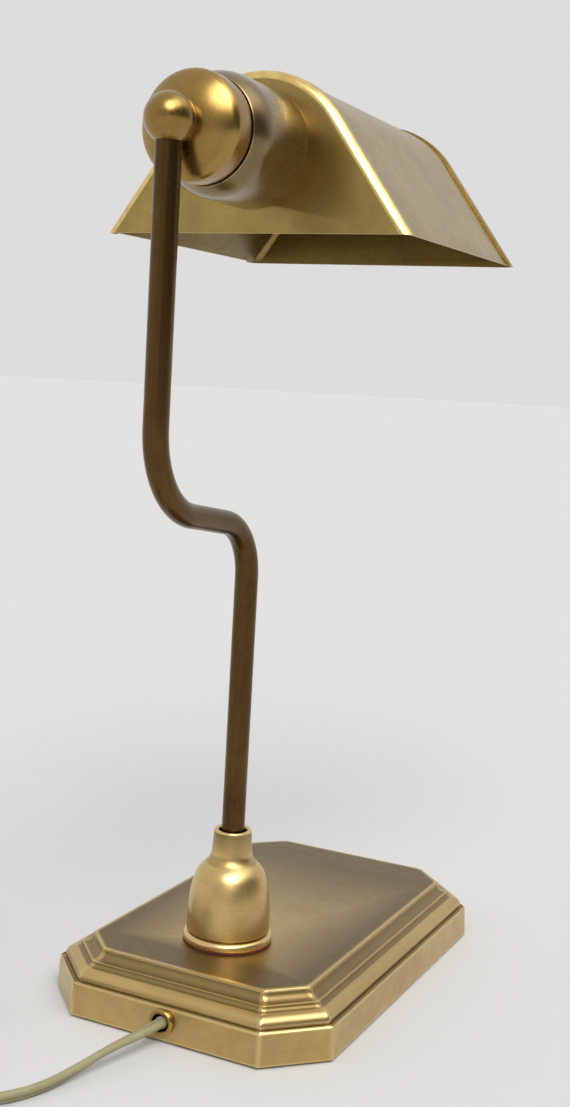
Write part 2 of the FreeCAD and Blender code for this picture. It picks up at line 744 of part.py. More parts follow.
def bulb_glass():
    """Tubular bulb: a straight envelope with a round end, drawn in to the cap."""
    wall = 0.8
    inner = BULB_R - wall
    diagonal = math.sqrt(0.5)
    round_y = BULB_TIP_Y - BULB_R
    steps = [
        (BULB_CAP_R - 0.2, BULB_CAP_END_Y + 3),
        (BULB_R, BULB_NECK_Y),
        (BULB_R, round_y),
        (BULB_R * diagonal, round_y + BULB_R * diagonal, 0, BULB_TIP_Y),
        (0, BULB_TIP_Y - wall),
        (inner * diagonal, round_y + inner * diagonal, inner, round_y),
        (inner, BULB_NECK_Y),
        (BULB_CAP_R - 1.0, BULB_CAP_END_Y + 3),
        (BULB_CAP_R - 1.0, BULB_CAP_END_Y),
    ]
    return turned((BULB_CAP_R - 0.2, BULB_CAP_END_Y), steps, "Y", HOLDER_AT)


# --- cord, switch and plug ----------------------------------------------------------------
def cord_lead():
    return cord("cord_lead", [
        (0, -104, 9.0),
        (-1.5, -116, 8.9),
        (-7, -132, 7.2),
        (-11.5, -147, 4.2),
        (-15, -161, 2.7),
        (-21, -175, 2.7),
        (-31, -187, 3.4),
        (-42, -193, 5.4),
        (-54, -195, 6.5),
    ])


def cord_middle():
    return cord("cord_middle", [
        (-112, -195, 6.5),
        (-123, -194.1, 5.6),
        (-134.5, -188.2, 3.6),
        (-142.9, -178.2, 2.7),
        (-146.7, -165.8, 2.7),
        (-146.8, -155, 2.7),
    ])


def cord_tail():
    return cord("cord_tail", [
        (-146.7, -127, 6.8),
        (-147.3, -117, 7.0),
        (-149, -107, 7.0),
    ])


def cord_coil():
    half = COIL_TURNS_WIDE * CORD_R
    return ring(COIL_R - half, COIL_R + half, FLOOR_GAP, COIL_HEIGHT + FLOOR_GAP, at=COIL_CENTRE)


def switch_outline(inset, low, high):
    """A long rounded block, over the switch's place."""
    half = SWITCH_LENGTH / 2 - inset
    wide = SWITCH_WIDTH / 2 - inset
    nose = 6.0
    straight = half - 16
    steps = [
        (straight, -wide),
        (half - 5, -wide * 0.82, half, -nose),
        (half, nose),
        (half - 5, wide * 0.82, straight, wide),
        (-straight, wide),
        (5 - half, wide * 0.82, -half, nose),
        (-half, -nose),
        (5 - half, -wide * 0.82, -straight, -wide),
    ]
    wire = outline(steps[-1][-2:], steps, lambda a, b: Vector(a, b, low))
    solid = Part.Face(wire).extrude(Vector(0, 0, high - low))
    solid.translate(SWITCH_CENTRE)
    return solid


def switch_bore():
    reach = Vector(SWITCH_LENGTH, 0, 0)
    centre = SWITCH_CENTRE + Vector(0, 0, SWITCH_SPLIT_Z)
    return rod(CORD_R + 0.02, centre - reach, centre + reach)


SWITCH_SCREWS = [(-18, 8.2), (18, -8.2)]


def switch_base():
    tray = switch_outline(0, 0.2, SWITCH_SPLIT_Z)
    hollow = switch_outline(SWITCH_WALL, SWITCH_WALL, SWITCH_SPLIT_Z + 1)
    tray = tray.cut(hollow)
    for x, y in SWITCH_SCREWS:
        at = SWITCH_CENTRE + Vector(x, y, 0)
        tray = tray.fuse(Part.makeCylinder(3.0, SWITCH_SPLIT_Z - 1, at + Z_AXIS))
        tray = tray.cut(Part.makeCylinder(1.3, 20, at))
    return tray.cut(switch_bore())


def switch_lid():
    """Upper half of the switch, with the rocker's window and the two lugs that carry its pins."""
    lid = switch_outline(0, SWITCH_SPLIT_Z, SWITCH_TOP_Z)
    rim = [e for e in lid.Edges if abs(e.BoundBox.ZMin - SWITCH_TOP_Z) < 1e-4]
    lid = lid.makeFillet(2.2, rim)
    lid = lid.cut(switch_outline(SWITCH_WALL, SWITCH_SPLIT_Z - 1, SWITCH_TOP_Z - SWITCH_WALL))
    half_x, half_y = WINDOW_LENGTH / 2, WINDOW_WIDTH / 2
    window = box((-half_x, -half_y, 10), (half_x, half_y, 20))
    window.translate(SWITCH_CENTRE)
    lid = lid.cut(window)
    for side in (-1, 1):
        lug = box((-3, half_y, ROCKER_PIVOT_Z - 3), (3, half_y + 2.1, SWITCH_TOP_Z - 1))
        if side < 0:
            lug.rotate(ORIGIN, Z_AXIS, 180)
        lug.translate(SWITCH_CENTRE)
        lid = lid.fuse(lug)
    pivot = SWITCH_CENTRE + Vector(0, 0, ROCKER_PIVOT_Z)
    lid = lid.cut(rod(1.26, pivot - Y_AXIS * 7.2, pivot + Y_AXIS * 7.2))
    for x, y in SWITCH_SCREWS:
        at = SWITCH_CENTRE + Vector(x, y, 0)
        lid = lid.fuse(Part.makeCylinder(3.0, 7, at + Z_AXIS * SWITCH_SPLIT_Z))
        lid = lid.cut(Part.makeCylinder(1.25, 6, at + Z_AXIS * (SWITCH_SPLIT_Z - 1)))
    return lid.cut(switch_bore())


def switch_screws():
    screws = []
    for x, y in SWITCH_SCREWS:
        shank = Part.makeCylinder(1.2, 9.5, SWITCH_CENTRE + Vector(x, y, 1.0))
        slot = box((x - 1.3, y - 0.25, 0.9), (x + 1.3, y + 0.25, 1.5))
        slot.translate(SWITCH_CENTRE)
        screws.append(shank.cut(slot))
    return group(screws)


def switch_contacts():
    """Two sprung strips that the rocker closes."""
    strips = []
    for side in (-1, 1):
        strip = box((side * 8 - 4, -2, SWITCH_WALL), (side * 8 + 4, 2, SWITCH_WALL + 1.0))
        strip.translate(SWITCH_CENTRE)
        strips.append(strip)
    return group(strips)


def switch_rocker():
    """Rocker with a dished top and two pins, lying at its off position."""
    steps = [
        (-8.8, 14.2),
        (-8.4, 17.2),
        (0, 15.6, 8.4, 17.2),
        (8.8, 14.2),
        (4.0, 11.4),
        (2.6, 9.2, 0, 8.6),
        (-2.6, 9.2, -4.0, 11.4),
    ]
    wire = outline(steps[-1][-2:], steps, lambda a, b: Vector(a, -ROCKER_WIDTH / 2, b))
    body = Part.Face(wire).extrude(Vector(0, ROCKER_WIDTH, 0))
    pivot = Vector(0, 0, ROCKER_PIVOT_Z)
    body = body.fuse(rod(1.2, pivot - Y_AXIS * 7.0, pivot + Y_AXIS * 7.0))
    body.rotate(pivot, Y_AXIS, ROCKER_TILT)
    body.translate(SWITCH_CENTRE)
    return body


def on_plug(solid):
    solid.rotate(ORIGIN, Z_AXIS, PLUG_TURN)
    solid.translate(PLUG_AT)
    return solid


def plug_sleeve():
    """Tapered, ribbed strain relief."""
    low_r = CORD_R + 1.2
    high_r = SLEEVE_HIGH_R
    steps = [(low_r, 0), (high_r, SLEEVE_LENGTH), (0, SLEEVE_LENGTH)]
    sleeve = turned((0, 0), steps, "Y")
    for k in range(5):
        y = 2.5 + 3.6 * k
        groove = ring(low_r + (high_r - low_r) * y / SLEEVE_LENGTH - 0.7, 9, y, y + 1.5, "Y")
        sleeve = sleeve.cut(groove)
    return on_plug(sleeve)


def plug_body():
    """Flat two-pin plug, wider at the pin face."""
    y0 = SLEEVE_LENGTH
    steps = [
        (6.5, y0),
        (12.0, y0 + 1.5, 13.2, y0 + 6),
        (PLUG_HALF_WIDTH, y0 + 26),
        (PLUG_HALF_WIDTH, y0 + PLUG_LENGTH),
        (-PLUG_HALF_WIDTH, y0 + PLUG_LENGTH),
        (-PLUG_HALF_WIDTH, y0 + 26),
        (-13.2, y0 + 6),
        (-12.0, y0 + 1.5, -6.5, y0),
    ]
    wire = outline(steps[-1][-2:], steps, lambda a, b: Vector(a, b, -PLUG_THICKNESS / 2))
    body = Part.Face(wire).extrude(Vector(0, 0, PLUG_THICKNESS))
    long_edges = [e for e in body.Edges if e.BoundBox.ZMax - e.BoundBox.ZMin < 1e-3]
    long_edges = [e for e in long_edges if e.BoundBox.YMin < y0 + PLUG_LENGTH - 0.1]
    return on_plug(body.makeFillet(2.2, long_edges))


def plug_pins():
    pins = []
    for side in (-1, 1):
        start = SLEEVE_LENGTH + PLUG_LENGTH
        end = start + PIN_LENGTH
        steps = [(PIN_R, start), (PIN_R, end), (PIN_R - 0.8, end + 1), (0, end + 1)]
        pins.append(on_plug(turned((0, start), steps, "Y", Vector(side * PIN_X, 0, 0))))
    return group(pins)


PIECES = {
    "base_shell": base_shell,
    "base_weight": base_weight,
    "base_cover_plate": base_cover,
    "base_felt": lambda: octagon(SHELL_WALL + 0.3, 0, COVER_Z),
    "cover_screws": cover_screws,
    "weight_screws": weight_screws,
    "cord_bushing": cord_bushing,
    "bushing_nut": bushing_nut,
    "cord_clamp": cord_clamp,
    "clamp_screws": clamp_screws,
    "terminal_block": terminal_block,
    "mains_lead_inside": mains_lead_inside,
    "bell_gasket": bell_gasket,
    "bell_ring": bell_ring,
    "bell_cup": bell_cup,
    "stem_tube": stem_tube,
    "stem_nuts": stem_nuts,
    "stem_washers": stem_washers,
    "stem_lead": stem_lead,
    "stem_ball": stem_ball,
    "pivot_nipple": pivot_nipple,
    "pivot_washer": pivot_washer,
    "pivot_nut": pivot_nut,
    "knob": knob,
    "holder_cup": holder_cup,
    "holder_leads": holder_leads,
    "holder_body": holder_body,
    "holder_skirt": holder_skirt,
    "holder_shell": holder_shell,
    "holder_contact": holder_contact,
    "shade_ring": shade_ring,
    "shade_body": shade_body,
    "near_end_plate": near_end_plate,
    "far_end_plate": far_end_plate,
    "bulb_glass": bulb_glass,
    "bulb_cap": bulb_cap,
    "bulb_contact": bulb_contact,
    "cord_lead": cord_lead,
    "cord_middle": cord_middle,
    "cord_tail": cord_tail,
    "cord_coil": cord_coil,
    "switch_base": switch_base,
    "switch_lid": switch_lid,
    "switch_screws": switch_screws,
    "switch_contacts": switch_contacts,
    "switch_rocker": switch_rocker,
    "plug_sleeve": plug_sleeve,
    "plug_body": plug_body,
    "plug_pins": plug_pins,
}

os.makedirs("parts", exist_ok=True)
for name, build in PIECES.items():
    shape = build()
    if not shape.isValid() or not shape.Solids:
        print("FAULT", name, "valid", shape.isValid(), "solids", len(shape.Solids))
    shape.exportStep("parts/" + name + ".step")
print(len(PIECES), "pieces")
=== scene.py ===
import json
import math

import bmesh
import bpy
from mathutils import Matrix, Vector

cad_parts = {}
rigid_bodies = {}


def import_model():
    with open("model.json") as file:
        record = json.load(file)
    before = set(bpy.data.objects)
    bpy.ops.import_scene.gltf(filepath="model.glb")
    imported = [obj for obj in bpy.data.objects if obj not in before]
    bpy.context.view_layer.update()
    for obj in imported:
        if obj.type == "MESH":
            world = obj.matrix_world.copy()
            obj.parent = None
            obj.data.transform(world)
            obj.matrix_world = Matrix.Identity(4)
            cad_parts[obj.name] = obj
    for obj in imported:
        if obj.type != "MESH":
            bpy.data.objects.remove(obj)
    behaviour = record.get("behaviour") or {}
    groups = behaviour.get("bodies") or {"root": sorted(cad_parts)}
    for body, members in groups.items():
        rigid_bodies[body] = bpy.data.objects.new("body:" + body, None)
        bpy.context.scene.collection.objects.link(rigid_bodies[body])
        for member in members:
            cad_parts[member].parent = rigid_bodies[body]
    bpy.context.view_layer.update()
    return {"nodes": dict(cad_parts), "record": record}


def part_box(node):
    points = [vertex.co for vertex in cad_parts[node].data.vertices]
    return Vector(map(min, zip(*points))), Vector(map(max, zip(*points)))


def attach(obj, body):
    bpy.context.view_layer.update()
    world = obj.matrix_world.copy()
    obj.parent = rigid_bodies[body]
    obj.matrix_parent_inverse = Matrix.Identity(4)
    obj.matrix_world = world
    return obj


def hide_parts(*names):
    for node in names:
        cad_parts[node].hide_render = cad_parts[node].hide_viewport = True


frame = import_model()

# Banker desk lamp in antique brass. Outlines are tables in millimetres, and everything else is
# in metres. Places come from the CAD nodes' boxes where those give them.
MM = 0.001
BALL = "stem_ball"


def low(node):
    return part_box(node)[0]


def high(node):
    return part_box(node)[1]


def middle(node):
    return (low(node) + high(node)) / 2


BASE_HALF_X = high("base_shell").x
BASE_HALF_Y = high("base_shell").y
DECK_TOP = high("base_shell").z
SHELL_FOOT = low("base_shell").z
CORNER_CUT = 22.5 * MM  # leg of each cut corner of the base
DECK_DARKENING = -0.8  # edge value of the deck, which the brass darkens like a recess
STEM_Y = middle("bell_ring").y
TUBE_R = high("stem_tube").x
TUBE_WALL = 1 * MM
BALL_R = high(BALL).x
OFFSET_Y = low(BALL).y + BALL_R  # where the stem's upper run stands
PIVOT_Z = middle("knob").z
LOW_CORNER_Z = 209 * MM  # corners of the stem's two bends, before rounding
HIGH_CORNER_Z = 220.6 * MM
LOW_BEND_R = 25 * MM
HIGH_BEND_R = 35 * MM
KNOB_R = high("knob").x
KNOB_Y = -108.4  # middle of the knob's ball, and the curves of its front, in millimetres
DOME_R = 34.0
RIM_R = 4.5
SHADE_FRONT_Y = low("near_end_plate").y
SHADE_BACK_Y = high("far_end_plate").y
SHADE_FOOT_Z = low("near_end_plate").z
SHADE_TOP_Z = high("near_end_plate").z
CROWN_R = 44 * MM  # arc over the shade
FLARE = math.radians(53.8)  # slope of its straight sides
SHEET = 1 * MM
CAP_DEPTH = 7.5 * MM
CAP_EDGE_R = 4 * MM
PLATE_HOLE_R = 19.9 * MM
BUSHING_BORE_R = 4.35 * MM
SHARP = 32  # degrees: a crease sharper than this keeps its edge


# --- outlines and meshes --------------------------------------------------------------------
def arc(start, mid, end, step=math.radians(7)):
    """Points after start on the arc from start through mid to end."""
    (ax, ay), (bx, by), (cx, cy) = start, mid, end
    d = 2 * (ax * (by - cy) + bx * (cy - ay) + cx * (ay - by))
    a2, b2, c2 = ax * ax + ay * ay, bx * bx + by * by, cx * cx + cy * cy
    ux = (a2 * (by - cy) + b2 * (cy - ay) + c2 * (ay - by)) / d
    uy = (a2 * (cx - bx) + b2 * (ax - cx) + c2 * (bx - ax)) / d
    radius = math.dist((ux, uy), start)
    first = math.atan2(ay - uy, ax - ux)
    turn = math.atan2(cy - uy, cx - ux) - first
    halfway = math.atan2(by - uy, bx - ux) - first
    anticlockwise = halfway % math.tau < turn % math.tau
    turn = turn % math.tau if anticlockwise else turn % math.tau - math.tau
    count = max(2, math.ceil(abs(turn) / step))
    angles = [first + turn * k / count for k in range(1, count + 1)]
    return [(ux + radius * math.cos(a), uy + radius * math.sin(a)) for a in angles]


def outline(start, steps, corner=0.25, reach=0.9, closed=True):
    """A solid's outline, anticlockwise, from a table in millimetres: points (a, b, wear) in metres.

    A step is (a, b) for a line to it, or (ma, mb, a, b) for an arc through m. Each corner is
    rounded. Wear is 1 on an outer corner and -1 in an inner one, and fades to 0 within reach.
    """
    points = [start]
    for step in steps:
        points += arc(points[-1], step[:2], step[2:]) if len(step) == 4 else [step]
    if closed and math.dist(points[0], points[-1]) < 1e-6:
        points.pop()
    made = []
    for i, point in enumerate(points):
        if not closed and i in (0, len(points) - 1):
            made.append((*point, 0.0))
            continue
        here = Vector(point)
        back = Vector(points[i - 1]) - here
        ahead = Vector(points[(i + 1) % len(points)]) - here
        room = 0.45 * min(back.length, ahead.length)
        turn = math.atan2(ahead.x * back.y - ahead.y * back.x, -back.dot(ahead))
        if abs(turn) < math.radians(18):
            bend = turn / (room / 0.45)
            strength = 1.4 if bend > 0 else 2.4
            made.append((*point, max(-0.6, min(0.6, strength * bend))))
            continue
        cut = min(corner * math.tan(abs(turn) / 2), room)
        wear = math.copysign(1.0, turn)
        back, ahead = back.normalized(), ahead.normalized()
        fade = min(cut + reach, 2 * room)
        if fade > 1.3 * cut:
            made.append((*(here + back * fade), 0.0))
        for t in (0, 0.25, 0.5, 0.75, 1):
            away = back * cut * (1 - t) ** 2 + ahead * cut * t**2
            made.append((*(here + away), wear))
        if fade > 1.3 * cut:
            made.append((*(here + ahead * fade), 0.0))
    return [(a * MM, b * MM, wear) for a, b, wear in made]


def mesh_object(name, verts, faces, edge, lay, sharp=SHARP):
    """An object with smooth shading, and at each point its edge value (wear, patina, and the painted
    highlights and shade) and its layout.
    """
    mesh = bpy.data.meshes.new(name)
    mesh.from_pydata([tuple(v) for v in verts], [], faces)
    wear = mesh.attributes.new("edge", "FLOAT", "POINT")
    wear.data.foreach_set("value", edge)
    laid = mesh.attributes.new("lay", "FLOAT_VECTOR", "POINT")
    laid.data.foreach_set("vector", [x for p in lay for x in p])
    tidy(mesh, sharp)
    obj = bpy.data.objects.new(name, mesh)
    bpy.context.scene.collection.objects.link(obj)
    return obj


def tidy(mesh, sharp=SHARP):
    work = bmesh.new()
    work.from_mesh(mesh)
    bmesh.ops.remove_doubles(work, verts=work.verts, dist=2e-7)
    bmesh.ops.recalc_face_normals(work, faces=work.faces)
    work.to_mesh(mesh)
    work.free()
    mesh.shade_smooth()
    mesh.set_sharp_from_angle(angle=math.radians(sharp))


def runs(section):
    """The distance along an outline at each of its points."""
    along = [0.0]
    for a, b in zip(section, section[1:]):
        along.append(along[-1] + math.dist(a[:2], b[:2]))
    return along


def turned(name, section, centre, axis="Z", closed=True, around=112):
    """A turned piece from an outline of (radius, height), with the height along the named axis."""
    verts, faces, edge, lay, rings = [], [], [], [], []
    usual = max(r for r, _, _ in section)
    for (r, h, wear), run in zip(section, runs(section)):
        ring = []
        for k in range(1 if r < 1e-7 else around):
            a = math.tau * k / around
            x, y = math.cos(a), math.sin(a)
            place = Vector((r * x, r * y, h)) if axis == "Z" else Vector((r * x, h, r * y))
            ring.append(len(verts))
            verts.append(place + centre)
            edge.append(wear)
            lay.append((usual * x, usual * y, run))
        rings.append(ring)
    pairs = list(zip(rings, rings[1:] + rings[:1])) if closed else list(zip(rings, rings[1:]))
    for one, two in pairs:
        for k in range(around):
            n = (k + 1) % around
            corners = [one[k % len(one)], one[n % len(one)], two[n % len(two)], two[k % len(two)]]
            corners = list(dict.fromkeys(corners))
            if len(corners) > 2:
                faces.append(corners)
    return mesh_object(name, verts, faces, edge, lay)


def upright(x, y, z):
    return Vector((x, y, z))


def stacked(name, loop_at, levels, place=upright):
    """A solid from loops of one shape. A level is (outwards, along, wear), and ends are closed."""
    verts, faces, edge, lay = [], [], [], []
    for level, ((out, along, wear), run) in enumerate(zip(levels, runs(levels))):
        loop = loop_at(-out)
        flat_end = level in (0, len(levels) - 1)
        for x, y, corner in loop:
            verts.append(place(x, y, along))
            edge.append(wear if flat_end else max(-1.0, min(1.0, wear + corner)))
            lay.append((x, y, run))
    count = len(loop)
    for row in range(len(levels) - 1):
        for k in range(count):
            n = (k + 1) % count
            a = row * count
            faces.append([a + k, a + n, a + count + n, a + count + k])
    faces.append(list(range(count)))
    faces.append(list(range(len(verts) - count, len(verts))))
    return mesh_object(name, verts, faces, edge, lay)


def swept(name, path, section, upright, roll=None, sharp=40):
    """A solid along a path of points. A section point is (across, up, wear), and upright is up's
    direction; roll gives a turn of the section about the path, in radians, at each point."""
    verts, faces, edge, lay, run = [], [], [], [], 0.0
    for i, here in enumerate(path):
        ahead = (path[min(i + 1, len(path) - 1)] - path[max(i - 1, 0)]).normalized()
        across = ahead.cross(upright).normalized()
        up = across.cross(ahead)
        run += (here - path[i - 1]).length if i else 0.0
        turn = Matrix.Rotation(roll[i], 3, ahead) if roll else Matrix.Identity(3)
        for a, b, wear in section:
            verts.append(here + turn @ (across * a + up * b))
            edge.append(wear)
            lay.append((a, b, run))
    count = len(section)
    for row in range(len(path) - 1):
        for k in range(count):
            n = (k + 1) % count
            a = row * count
            faces.append([a + k, a + n, a + count + n, a + count + k])
    faces.append(list(range(count)))
    faces.append(list(range(len(verts) - count, len(verts))))
    return mesh_object(name, verts, faces, edge, lay, sharp)


def cut(obj, *cutters):
    """Takes the cutters out of obj and removes them."""
    for cutter in cutters:
        modifier = obj.modifiers.new("cut", "BOOLEAN")
        modifier.operation = "DIFFERENCE"
        modifier.solver = "EXACT"
        modifier.object = cutter
    shape = obj.evaluated_get(bpy.context.evaluated_depsgraph_get())
    old = obj.data
    obj.data = bpy.data.meshes.new_from_object(shape)
    obj.modifiers.clear()
    bpy.data.meshes.remove(old)
    for cutter in cutters:
        bpy.data.objects.remove(cutter)
    tidy(obj.data)
    return obj


def rod(radius, start, end, around=64):
    """A plain cylinder, for a bore or a pin."""
    ring = [(radius * math.cos(math.tau * k / around), radius * math.sin(math.tau * k / around), 0)
            for k in range(around)]
    side = Vector((0, 0, 1)) if abs((end - start).z) < 1e-9 else Vector((1, 0, 0))
    return swept("bore", [start, end], ring, side)


def block(name, lowest, highest):
    corners = [(lowest.x, lowest.y, 0), (highest.x, lowest.y, 0),
               (highest.x, highest.y, 0), (lowest.x, highest.y, 0)]
    levels = [(0, lowest.z, 0), (0, highest.z, 0)]
    return stacked(name, lambda inset: corners, levels)


def eased(obj, width):
    """Rounds the sharp edges of a finished solid."""
    modifier = obj.modifiers.new("ease", "BEVEL")
    modifier.width = width
    modifier.segments = 3
    modifier.limit_method = "ANGLE"
    modifier.angle_limit = math.radians(35)
    shape = obj.evaluated_get(bpy.context.evaluated_depsgraph_get())
    old = obj.data
    obj.data = bpy.data.meshes.new_from_object(shape)
    obj.modifiers.clear()
    bpy.data.meshes.remove(old)
    obj.data.shade_smooth()
    obj.data.set_sharp_from_angle(angle=math.radians(SHARP))
    return obj


def joined(name, *objects):
    """One object of several."""
    work = bmesh.new()
    for obj in objects:
        work.from_mesh(obj.data)
    mesh = objects[0].data
    work.to_mesh(mesh)
    work.free()
    for obj in objects[1:]:
        bpy.data.objects.remove(obj)
    objects[0].name = name
    return objects[0]


def shown(obj, material, body, slot, *nodes):
    """Gives a finished piece its material and its place in the frame."""
    obj.data.materials.clear()
    obj.data.materials.append(material)
    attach(obj, body)
    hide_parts(*nodes)
    return obj


# --- materials ------------------------------------------------------------------------------
class Nodes:
    """A material's node tree, built one node at a time."""

    def __init__(self, name):
        self.material = bpy.data.materials.new(name)
        self.material.use_nodes = True
        self.tree = self.material.node_tree
        self.shader = self.tree.nodes["Principled BSDF"]

    def add(self, kind, **settings):
        node = self.tree.nodes.new(kind)
        for key, value in settings.items():
            setattr(node, key, value)
        return node

    def put(self, socket, value):
        if isinstance(value, bpy.types.NodeSocket):
            self.tree.links.new(value, socket)
        elif socket.type == "RGBA" and len(value) == 3:
            socket.default_value = (*value, 1)
        else:
            socket.default_value = value

    def set(self, **values):
        for key, value in values.items():
            self.put(self.shader.inputs[key.replace("_", " ")], value)

    def attribute(self, name, vector=False):
        node = self.add("ShaderNodeAttribute", attribute_name=name)
        return node.outputs["Vector" if vector else "Fac"]

    def place(self):
        return self.add("ShaderNodeTexCoord").outputs["Object"]

    def scaled(self, vector, scale):
        node = self.add("ShaderNodeMapping")
        self.put(node.inputs["Vector"], vector)
        self.put(node.inputs["Scale"], scale)
        return node.outputs["Vector"]

    def noise(self, vector, scale, detail=3, rough=0.55):
        node = self.add("ShaderNodeTexNoise")
        self.put(node.inputs["Vector"], vector)
        self.put(node.inputs["Scale"], scale)
        self.put(node.inputs["Detail"], detail)
        self.put(node.inputs["Roughness"], rough)
        return node.outputs["Fac"]

    def math(self, operation, a, b, clamp=False):
        node = self.add("ShaderNodeMath", operation=operation, use_clamp=clamp)
        self.put(node.inputs[0], a)
        self.put(node.inputs[1], b)
        return node.outputs[0]

    def spread(self, value, from_low, from_high, to_low=0.0, to_high=1.0):
        node = self.add("ShaderNodeMapRange")
        self.put(node.inputs["Value"], value)
        for key, number in [("From Min", from_low), ("From Max", from_high),
                            ("To Min", to_low), ("To Max", to_high)]:
            self.put(node.inputs[key], number)
        return node.outputs["Result"]

    def mix(self, share, a, b):
        node = self.add("ShaderNodeMix", data_type="RGBA")
        self.put(node.inputs[0], share)
        self.put(node.inputs[6], a)
        self.put(node.inputs[7], b)
        return node.outputs[2]

    def bump(self, height, strength, distance, after=None):
        node = self.add("ShaderNodeBump")
        self.put(node.inputs["Height"], height)
        self.put(node.inputs["Strength"], strength)
        self.put(node.inputs["Distance"], distance)
        if after is not None:
            self.put(node.inputs["Normal"], after)
        return node.outputs["Normal"]


def brass(name, clean, aged, grain, rough, patina=0.5, mirror=0.0, edges=1.0):
    """Lacquered antique brass: a brown patina in clouds and recesses, brushed grain, and bare edges,
    lightened more with edges above 1 as a painted highlight.
    """
    n = Nodes(name)
    place, lay = n.place(), n.attribute("lay", vector=True)
    edge = n.attribute("edge")
    clouds = n.noise(place, 24, 4, 0.6)
    mottle = n.noise(place, 190, 4, 0.65)
    brushed = n.noise(n.scaled(lay, grain), 1, 4, 0.6)
    fine = n.noise(n.scaled(lay, [3.7 * g for g in grain]), 1, 2, 0.5)
    worn_and_highlit = n.spread(edge, 0.15, 0.95)
    recess = n.spread(edge, -0.1, -0.75)
    age = n.spread(clouds, 0.3, 0.7, patina - 0.22, patina + 0.22)
    age = n.math("ADD", age, n.spread(mottle, 0.25, 0.75, -0.14, 0.14))
    age = n.math("ADD", age, n.spread(brushed, 0.25, 0.75, -0.16, 0.16), clamp=True)
    dark = [0.3 * c for c in aged]
    bright = [min(1.0, edges * (1.35 * c + 0.05)) for c in clean]
    colour = n.mix(age, clean, aged)
    colour = n.mix(n.math("MULTIPLY", recess, 0.85), colour, dark)
    # Where the edge value is high the colour is lightened: rubbed wear, and where edges is above 1
    # also a painted highlight.
    rubbed_and_highlit = n.math("MULTIPLY", worn_and_highlit, n.spread(mottle, 0.3, 0.6, 0.45, 0.95))
    colour = n.mix(rubbed_and_highlit, colour, bright)
    gloss = n.math("ADD", n.spread(age, 0, 1, rough - 0.05, rough + 0.07),
                   n.spread(fine, 0.25, 0.75, -0.04, 0.04))
    gloss = n.math("SUBTRACT", gloss, n.math("MULTIPLY", rubbed_and_highlit, 0.08))
    gloss = n.math("ADD", gloss, n.math("MULTIPLY", recess, 0.14))
    wavy = n.bump(n.noise(place, 30, 1, 0.4), 0.05, 0.0012)
    grained = n.bump(n.math("ADD", brushed, n.math("MULTIPLY", fine, 0.5)), 0.14, 0.00012, wavy)
    n.set(Base_Color=colour, Metallic=1.0, Roughness=gloss, Normal=grained)
    n.set(Coat_Weight=0.3 + mirror, Coat_Roughness=0.22, Coat_IOR=1.5)
    return n.material


def steel(name, colour, rough=0.35):
    n = Nodes(name)
    place = n.place()
    spangle = n.add("ShaderNodeTexVoronoi")
    n.put(spangle.inputs["Vector"], place)
    n.put(spangle.inputs["Scale"], 420)
    tint = n.mix(spangle.outputs["Distance"], colour, [0.75 * c for c in colour])
    n.set(Base_Color=tint, Metallic=1.0)
    n.set(Roughness=n.spread(n.noise(place, 300), 0.3, 0.7, rough - 0.08, rough + 0.1))
    n.set(Normal=n.bump(n.noise(place, 900, 2), 0.15, 0.0001))
    return n.material


def cast(name, colour):
    n = Nodes(name)
    place = n.place()
    n.set(Base_Color=n.mix(n.noise(place, 120, 5), colour, [1.9 * c for c in colour]))
    n.set(Metallic=0.6, Roughness=n.spread(n.noise(place, 260), 0.3, 0.7, 0.55, 0.8))
    n.set(Normal=n.bump(n.noise(place, 700, 6, 0.7), 0.7, 0.0004))
    return n.material


def plastic(name, colour, rough, texture=600, bump=0.12, coat=0.0):
    """Moulded plastic or fibre with a fine texture and a little unevenness of colour."""
    n = Nodes(name)
    place = n.place()
    shade = n.spread(n.noise(place, 60, 4), 0.3, 0.7, 0, 1)
    n.set(Base_Color=n.mix(shade, [0.86 * c for c in colour], [min(1, 1.1 * c) for c in colour]))
    n.set(Roughness=n.spread(n.noise(place, 220, 3), 0.3, 0.7, rough - 0.06, rough + 0.08))
    n.set(Normal=n.bump(n.noise(place, texture, 4, 0.6), bump, 0.0001))
    n.set(Coat_Weight=coat, Coat_Roughness=0.2)
    return n.material


def felt(name, colour):
    """Pressed wool: short fibres that lie every way."""
    n = Nodes(name)
    place = n.place()
    fibres = n.noise(n.scaled(place, (2600, 700, 1500)), 1, 4, 0.7)
    crossed = n.noise(n.scaled(place, (700, 2600, 1500)), 1, 4, 0.7)
    tangle = n.math("MAXIMUM", fibres, crossed)
    n.set(Base_Color=n.mix(n.spread(tangle, 0.4, 0.75), [0.5 * c for c in colour], colour))
    n.set(Roughness=0.95, Normal=n.bump(tangle, 0.8, 0.0004))
    n.set(Sheen_Weight=0.5, Sheen_Roughness=0.6, Specular_IOR_Level=0.2)
    return n.material


def ceramic(name, colour):
    n = Nodes(name)
    place = n.place()
    specks = n.spread(n.noise(place, 900, 2), 0.62, 0.7)
    n.set(Base_Color=n.mix(specks, colour, [0.8 * c for c in colour]))
    n.set(Roughness=n.spread(n.noise(place, 90), 0.3, 0.7, 0.16, 0.28))
    n.set(Normal=n.bump(n.noise(place, 70, 2), 0.2, 0.0005), Coat_Weight=0.5)
    return n.material


def frosted_glass(name):
    """Glass etched white on the inside."""
    n = Nodes(name)
    place = n.place()
    haze = n.noise(place, 60, 3)
    n.set(Base_Color=n.mix(haze, (0.93, 0.92, 0.89), (0.98, 0.98, 0.96)))
    n.set(Roughness=n.spread(n.noise(place, 500, 3), 0.3, 0.7, 0.38, 0.5))
    n.set(Transmission_Weight=0.55, IOR=1.45, Coat_Weight=0.6, Coat_Roughness=0.08)
    return n.material


